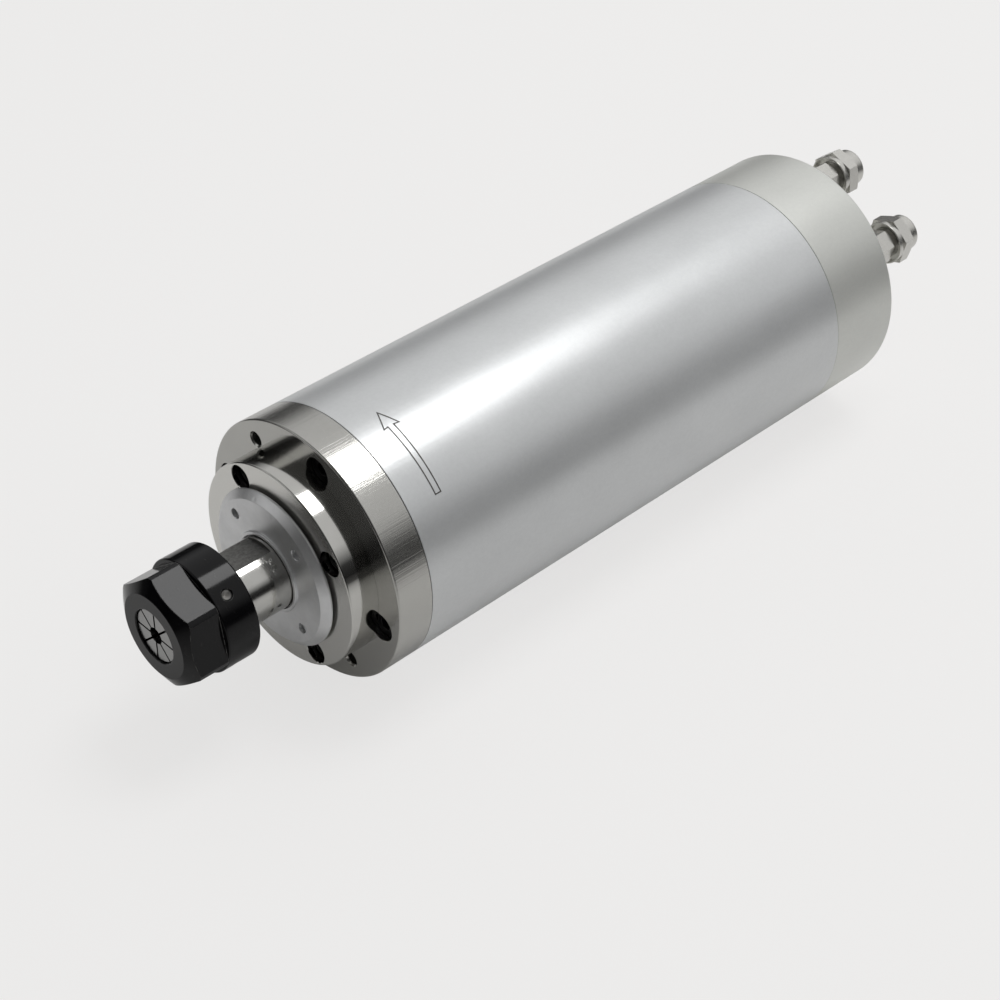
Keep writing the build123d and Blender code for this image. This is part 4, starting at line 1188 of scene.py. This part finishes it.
class SPINDLE_OT_fittings(Operator):
    """Hose fittings: threaded bases, ferrules and union nuts"""
    bl_idname = "spindle.fittings"
    bl_label = "Hose fittings"

    def execute(self, context):
        s, cap = settings("fittings"), cad("rear_cap")
        for number in (1, 2):
            base, angle = cad(f"fitting_base_{number}"), getattr(s, f"turn_{number}")
            self.base(s, base, cap.rear, number, angle)
            self.ferrule(s, cad(f"hose_ferrule_{number}"), number)
            self.nut(s, cad(f"hose_nut_{number}"), base, number, angle)
        return {"FINISHED"}

    def hexagon(self, width, front, rear, x, z, angle, rim=0.0):
        """Hexagon along Y with chamfered ends, the front one with a round rim if given."""
        flat, corner = width / 2, width / 2 / cos(pi / 6)
        drop = (corner - flat) * tan(radians(30)) + 0.15
        start = [(flat, front, 0.15), (flat, front + rim), (corner, front + rim)]
        if not rim:
            start = [(flat - 0.25, front), (corner, front + drop)]
        limit = lathe([
            (0, front), *start, (corner, rear - drop), (flat - 0.25, rear), (0, rear),
        ], x, z, steps=FITTING_STEPS)
        return carved(prism(6, width, front, rear, x, z, angle), ("INTERSECT", limit))

    def base(self, s, box, seat, number, angle):
        """Threaded base with its hexagon, nipple and hose seat."""
        top = seat + s.base_length
        body = lathe([
            (0, box.front), (s.thread, box.front, 0.4), (s.thread, seat + 0.3),
            (s.thread * 0.9, seat + 0.3), (s.thread * 0.9, top - 0.3), (s.nipple, top - 0.3),
            (s.nipple, box.rear, 0.35), (0, box.rear),
        ], box.x, box.z, steps=FITTING_STEPS,
            threads=[(s.nipple, top - 0.2, box.rear - 0.4, s.pitch, s.thread_depth)])
        bore = cutter(
            (s.water, box.front), (s.water, box.rear - s.hose_seat),
            (s.hose, box.rear - s.hose_seat), (s.hose, box.rear - 0.2),
            (s.hose + 0.2 + OVERSHOOT, box.rear), x=box.x, z=box.z, steps=FITTING_STEPS)
        bm = carved(self.hexagon(s.base_hex, seat, top, box.x, box.z, angle), ("UNION", body),
                    ("DIFFERENCE", bore))
        place(bm, f"water_fitting_{number}", "fitting_nickel", "housing", "fitting_nickel",
              f"fitting_base_{number}", angle=FACETED_ANGLE)

    def ferrule(self, s, box, number):
        """Clamping ring with tapered ends."""
        edge, taper = s.ferrule_edge, s.ferrule_taper
        bm = lathe([
            (s.ferrule_bore, box.front), (box.radius - edge, box.front, 0.08),
            (box.radius, box.front + taper, 0.1), (box.radius, box.rear - taper, 0.1),
            (box.radius - edge, box.rear, 0.08), (s.ferrule_bore, box.rear),
        ], box.x, box.z, steps=FITTING_STEPS)
        place(bm, f"clamp_ferrule_{number}", "fitting_nickel", f"hose_ferrule_{number}_body",
              "fitting_nickel", f"hose_ferrule_{number}")

    def nut(self, s, box, base, number, angle):
        """Union nut over the nipple, with a round end and room for the ferrule."""
        x, z = base.x, base.z
        step = box.front + s.nut_hex_length
        collar = lathe([
            (0, step - 0.5), (s.nut_collar + 0.35, step - 0.5), (s.nut_collar, step + 0.2),
            (s.nut_collar, box.rear, 0.5), (0, box.rear),
        ], x, z, steps=FITTING_STEPS)
        inner = cutter(
            (s.nut_mouth, box.front), (s.nut_mouth, box.front + s.nut_recess),
            (s.nut_bore, box.front + s.nut_recess), (s.nut_bore, base.rear),
            (s.ferrule_space, base.rear), (s.ferrule_space, box.rear - s.nut_wall),
            (s.hose, box.rear - s.nut_wall), (s.hose, box.rear - 0.25),
            (s.hose + 0.25 + OVERSHOOT, box.rear), x=x, z=z, steps=FITTING_STEPS)
        hexagon = self.hexagon(s.nut_hex, box.front, step, x, z, angle, s.nut_rim)
        bm = carved(hexagon, ("UNION", collar), ("DIFFERENCE", inner))
        place(bm, f"union_nut_{number}", "fitting_nickel", f"hose_nut_{number}_body",
              "fitting_nickel", f"hose_nut_{number}", angle=FACETED_ANGLE)


class SPINDLE_OT_connector(Operator):
    """Panel connector: keyed barrel, insulator and contacts"""
    bl_idname = "spindle.connector"
    bl_label = "Connector"

    def execute(self, context):
        s, cap, shell = settings("fittings"), cad("rear_cap"), cad("connector_shell")
        x, z, seat = shell.x, shell.z, cap.rear
        flange = seat + s.barrel_flange
        barrel = lathe([
            (s.barrel_inner, shell.front), (s.barrel, shell.front, 0.3), (s.barrel, seat),
            (shell.radius, seat, 0.1), (shell.radius, flange, 0.45), (s.barrel, flange),
            (s.barrel, shell.rear, 0.35), (s.barrel_bore, shell.rear, 0.2),
            (s.barrel_bore, s.insulator_front), (s.barrel_inner, s.insulator_front),
        ], x, z, steps=BARREL_STEPS,
            threads=[(s.barrel, flange + 0.4, shell.rear - 0.4, s.pitch, 0.45)])
        insulator = cad("connector_insulator")
        deep = shell.rear - insulator.rear
        key = block((s.key_width, deep + OVERSHOOT, 2 * s.key_height),
                    (x, shell.rear - (deep - OVERSHOOT) / 2, z + s.barrel_bore))
        place(carved(barrel, ("DIFFERENCE", key)), "connector_barrel", "connector_zinc",
              "housing", "connector_zinc", "connector_shell")
        disc = lathe([
            (0, insulator.front), (insulator.radius, insulator.front),
            (insulator.radius, insulator.rear, 0.4), (0, insulator.rear),
        ], x, z, steps=FITTING_STEPS)
        sockets = cutter(
            (s.pin_radius + FIT, insulator.front), (s.pin_radius + FIT, insulator.rear - 0.5),
            (s.pin_radius + 0.4, insulator.rear - 0.5), (s.pin_radius + 0.4, insulator.rear),
            x=x + s.pin_circle, z=z, steps=PIN_STEPS)
        place(carved(disc, ("DIFFERENCE", around(sockets, 4, 0, (x, z)))),
              "connector_moulding", "connector_plastic", "housing", "connector_plastic",
              "connector_insulator")
        pins = cad("connector_pins")
        contact = lathe([
            (0, pins.front), (s.pin_radius, pins.front, 0.2),
            (s.pin_radius, pins.rear, 0.6), (0, pins.rear),
        ], x=x + s.pin_circle, z=z, steps=PIN_STEPS)
        place(around(contact, 4, 0, (x, z)), "connector_contacts", "pin_gold", "housing",
              "pin_gold", "connector_pins")
        return {"FINISHED"}


class SPINDLE_OT_inner_parts(Operator):
    """Finishes of the CAD pieces inside the housing"""
    bl_idname = "spindle.inner_parts"
    bl_label = "Inner parts"

    def execute(self, context):
        for name, nodes in INNER_FINISHES.items():
            for node in nodes:
                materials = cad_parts[node].data.materials
                materials.clear()
                materials.append(FINISHES[name]())
        return {"FINISHED"}


LAMPS = {                # place, width and height, and aim, in metres
    "top_lamp": ((0.10, 0.46, 1.0), (0.45, 0.48), (0.10, 0.46, 0)),
    "nose_lamp": ((-0.75, -0.95, 0.55), (0.9, 0.6), (0, 0, 0)),
}
SKY_LEVELS = ((0.0, 0.1), (0.5, 0.02), (0.6, 0.05), (0.74, 0.78), (1.0, 0.85))
SKY_FRONT, SKY_REAR, SKY_DIM = -0.35, 0.25, 0.12     # the sky darkens toward the nose
FLOOR_HALF = 4000        # millimetres
FLOOR_MIDDLE = (-0.1, 0.15)
FLOOR_NEAR, FLOOR_FAR, FLOOR_DIM = 0.24, 0.48, 0.1   # unseen floor darkens away from here
SEEN_GLOW, MIRRORED_GLOW = 0.8, 0.08


class SPINDLE_OT_stage(Operator):
    """Pale floor, soft studio lamps and the camera"""
    bl_idname = "spindle.stage"
    bl_label = "Stage"

    def execute(self, context):
        s = settings("stage")
        self.floor(s)
        self.sky(s)
        for name, (at, size, aim) in LAMPS.items():
            self.lamp(name, at, size, getattr(s, name), aim)
        self.camera(s)
        context.scene.view_settings.view_transform = "Standard"
        return {"FINISHED"}

    def floor(self, s):
        """Paper that looks evenly pale, but lights and shades the object like a small sheet."""
        bm = bmesh.new()
        bmesh.ops.create_grid(bm, x_segments=2, y_segments=2, size=FLOOR_HALF)
        bmesh.ops.translate(bm, verts=bm.verts[:], vec=(0, 0, s.floor_height))
        bmesh.ops.scale(bm, verts=bm.verts[:], vec=(MM, MM, MM))
        floor = loose(bm, "floor")
        f = Finish("floor_paper")
        seen, mirrored = (f.node("ShaderNodeLightPath", output=f"Is {kind} Ray")
                          for kind in ("Camera", "Glossy"))
        x, y = FLOOR_MIDDLE
        away = ((f.x - x) ** 2 + (f.y - y) ** 2) ** 0.5
        near = f.between(away, FLOOR_NEAR, FLOOR_FAR, 1.0, 0.0)
        # Painted shade: to every ray but the camera's, the floor's colour falls to a tenth away
        # from the middle, so the object is lit by and mirrors a darkened room.
        painted_floor_shade = f.mix(near, scaled(s.floor, FLOOR_DIM), s.floor)
        paper = f.node("ShaderNodeBsdfPrincipled", None, {
            "Base Color": f.mix(seen, painted_floor_shade, s.floor), "Roughness": 1.0,
            "Specular IOR Level": 0.0}, output="BSDF")
        glow = f.node("ShaderNodeEmission", None, {"Color": (*s.floor, 1), "Strength": 1.0})
        # Painted reflection: glossy rays near the middle see part of the floor glow, which
        # brightens the object's reflections. The camera sees the glow as an evenly pale
        # backdrop.
        share_of_glow = seen * SEEN_GLOW + mirrored * near * MIRRORED_GLOW
        f.end("ShaderNodeOutputMaterial", f.node("ShaderNodeMixShader", None,
                                                 {0: share_of_glow, 1: paper, 2: glow}))
        floor.data.materials.append(f.material)
        floor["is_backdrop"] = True

    def sky(self, s):
        """Soft light from above and behind; the camera sees the colour of the floor."""
        world = bpy.data.worlds.new("studio")
        bpy.context.scene.world = world
        world.use_nodes = True
        f = Shading(world.node_tree)
        way = f.node("ShaderNodeTexCoord", output="Generated")
        level = f.node("ShaderNodeValToRGB", None, {0: f.between(f.part(way, "Z"), -1.0, 1.0)})
        ramp = level.socket.node.color_ramp
        while len(ramp.elements) < len(SKY_LEVELS):
            ramp.elements.new(1.0)
        for element, (position, value) in zip(ramp.elements, SKY_LEVELS):
            element.position, element.color = position, (value, value, value, 1)
        level = level * f.between(f.part(way, "Y"), SKY_FRONT, SKY_REAR, SKY_DIM, 1.0)
        seen = f.node("ShaderNodeLightPath", output="Is Camera Ray")
        f.end("ShaderNodeOutputWorld", f.node("ShaderNodeBackground", None, {
            "Color": f.mix(seen, level, s.floor), "Strength": s.sky}))

    def lamp(self, name, at, size, power, aim):
        """Rectangular lamp at a place, turned to its aim."""
        light = bpy.data.lights.new(name, "AREA")
        light.shape, light.size, light.size_y, light.energy = "RECTANGLE", *size, power
        holder = bpy.data.objects.new(name, light)
        holder.location = at
        holder.rotation_euler = (Vector(aim) - Vector(at)).to_track_quat("-Z", "Y").to_euler()
        bpy.context.scene.collection.objects.link(holder)

    def camera(self, s):
        """Camera with the view of the photograph."""
        data = bpy.data.cameras.new("camera")
        data.lens, data.sensor_width = s.lens, 36.0
        data.clip_start, data.clip_end = 0.01, 20.0
        camera = bpy.data.objects.new("camera", data)
        camera.location = s.camera
        camera.rotation_euler = Vector(s.aim).to_track_quat("-Z", "Y").to_euler()
        bpy.context.scene.collection.objects.link(camera)
        bpy.context.scene.camera = camera


class SPINDLE_PT_sidebar(Panel):
    """Steps of the motor spindle, in the order in which they are made"""
    bl_idname = "SPINDLE_PT_sidebar"
    bl_label = "Motor spindle"
    bl_space_type = "VIEW_3D"
    bl_region_type = "UI"
    bl_category = "Spindle"

    def draw(self, context):
        for operator in OPERATORS:
            self.layout.operator(operator.bl_idname)
        for name, group in GROUPS.items():
            box = self.layout.box()
            box.label(text=group.__doc__)
            for key in group.__annotations__:
                box.prop(getattr(context.scene, name), key)


OPERATORS = (SPINDLE_OT_stage, SPINDLE_OT_tube, SPINDLE_OT_flange, SPINDLE_OT_gland,
             SPINDLE_OT_rear_cap, SPINDLE_OT_cover, SPINDLE_OT_shaft, SPINDLE_OT_collet_nut,
             SPINDLE_OT_collet, SPINDLE_OT_fittings, SPINDLE_OT_connector,
             SPINDLE_OT_inner_parts)


def register():
    """Adds the classes and puts the settings on the scene."""
    for group in (*GROUPS.values(), *OPERATORS, SPINDLE_PT_sidebar):
        bpy.utils.register_class(group)
    for name, group in GROUPS.items():
        setattr(bpy.types.Scene, name, PointerProperty(type=group))


def unregister():
    """Takes the settings and the classes away again."""
    for name in GROUPS:
        delattr(bpy.types.Scene, name)
    for group in reversed((*GROUPS.values(), *OPERATORS, SPINDLE_PT_sidebar)):
        bpy.utils.unregister_class(group)


def main():
    """Makes the whole dressed spindle."""
    register()
    for operator in OPERATORS:
        family, name = operator.bl_idname.split(".")
        getattr(getattr(bpy.ops, family), name)()


if __name__ == "__main__":
    main()
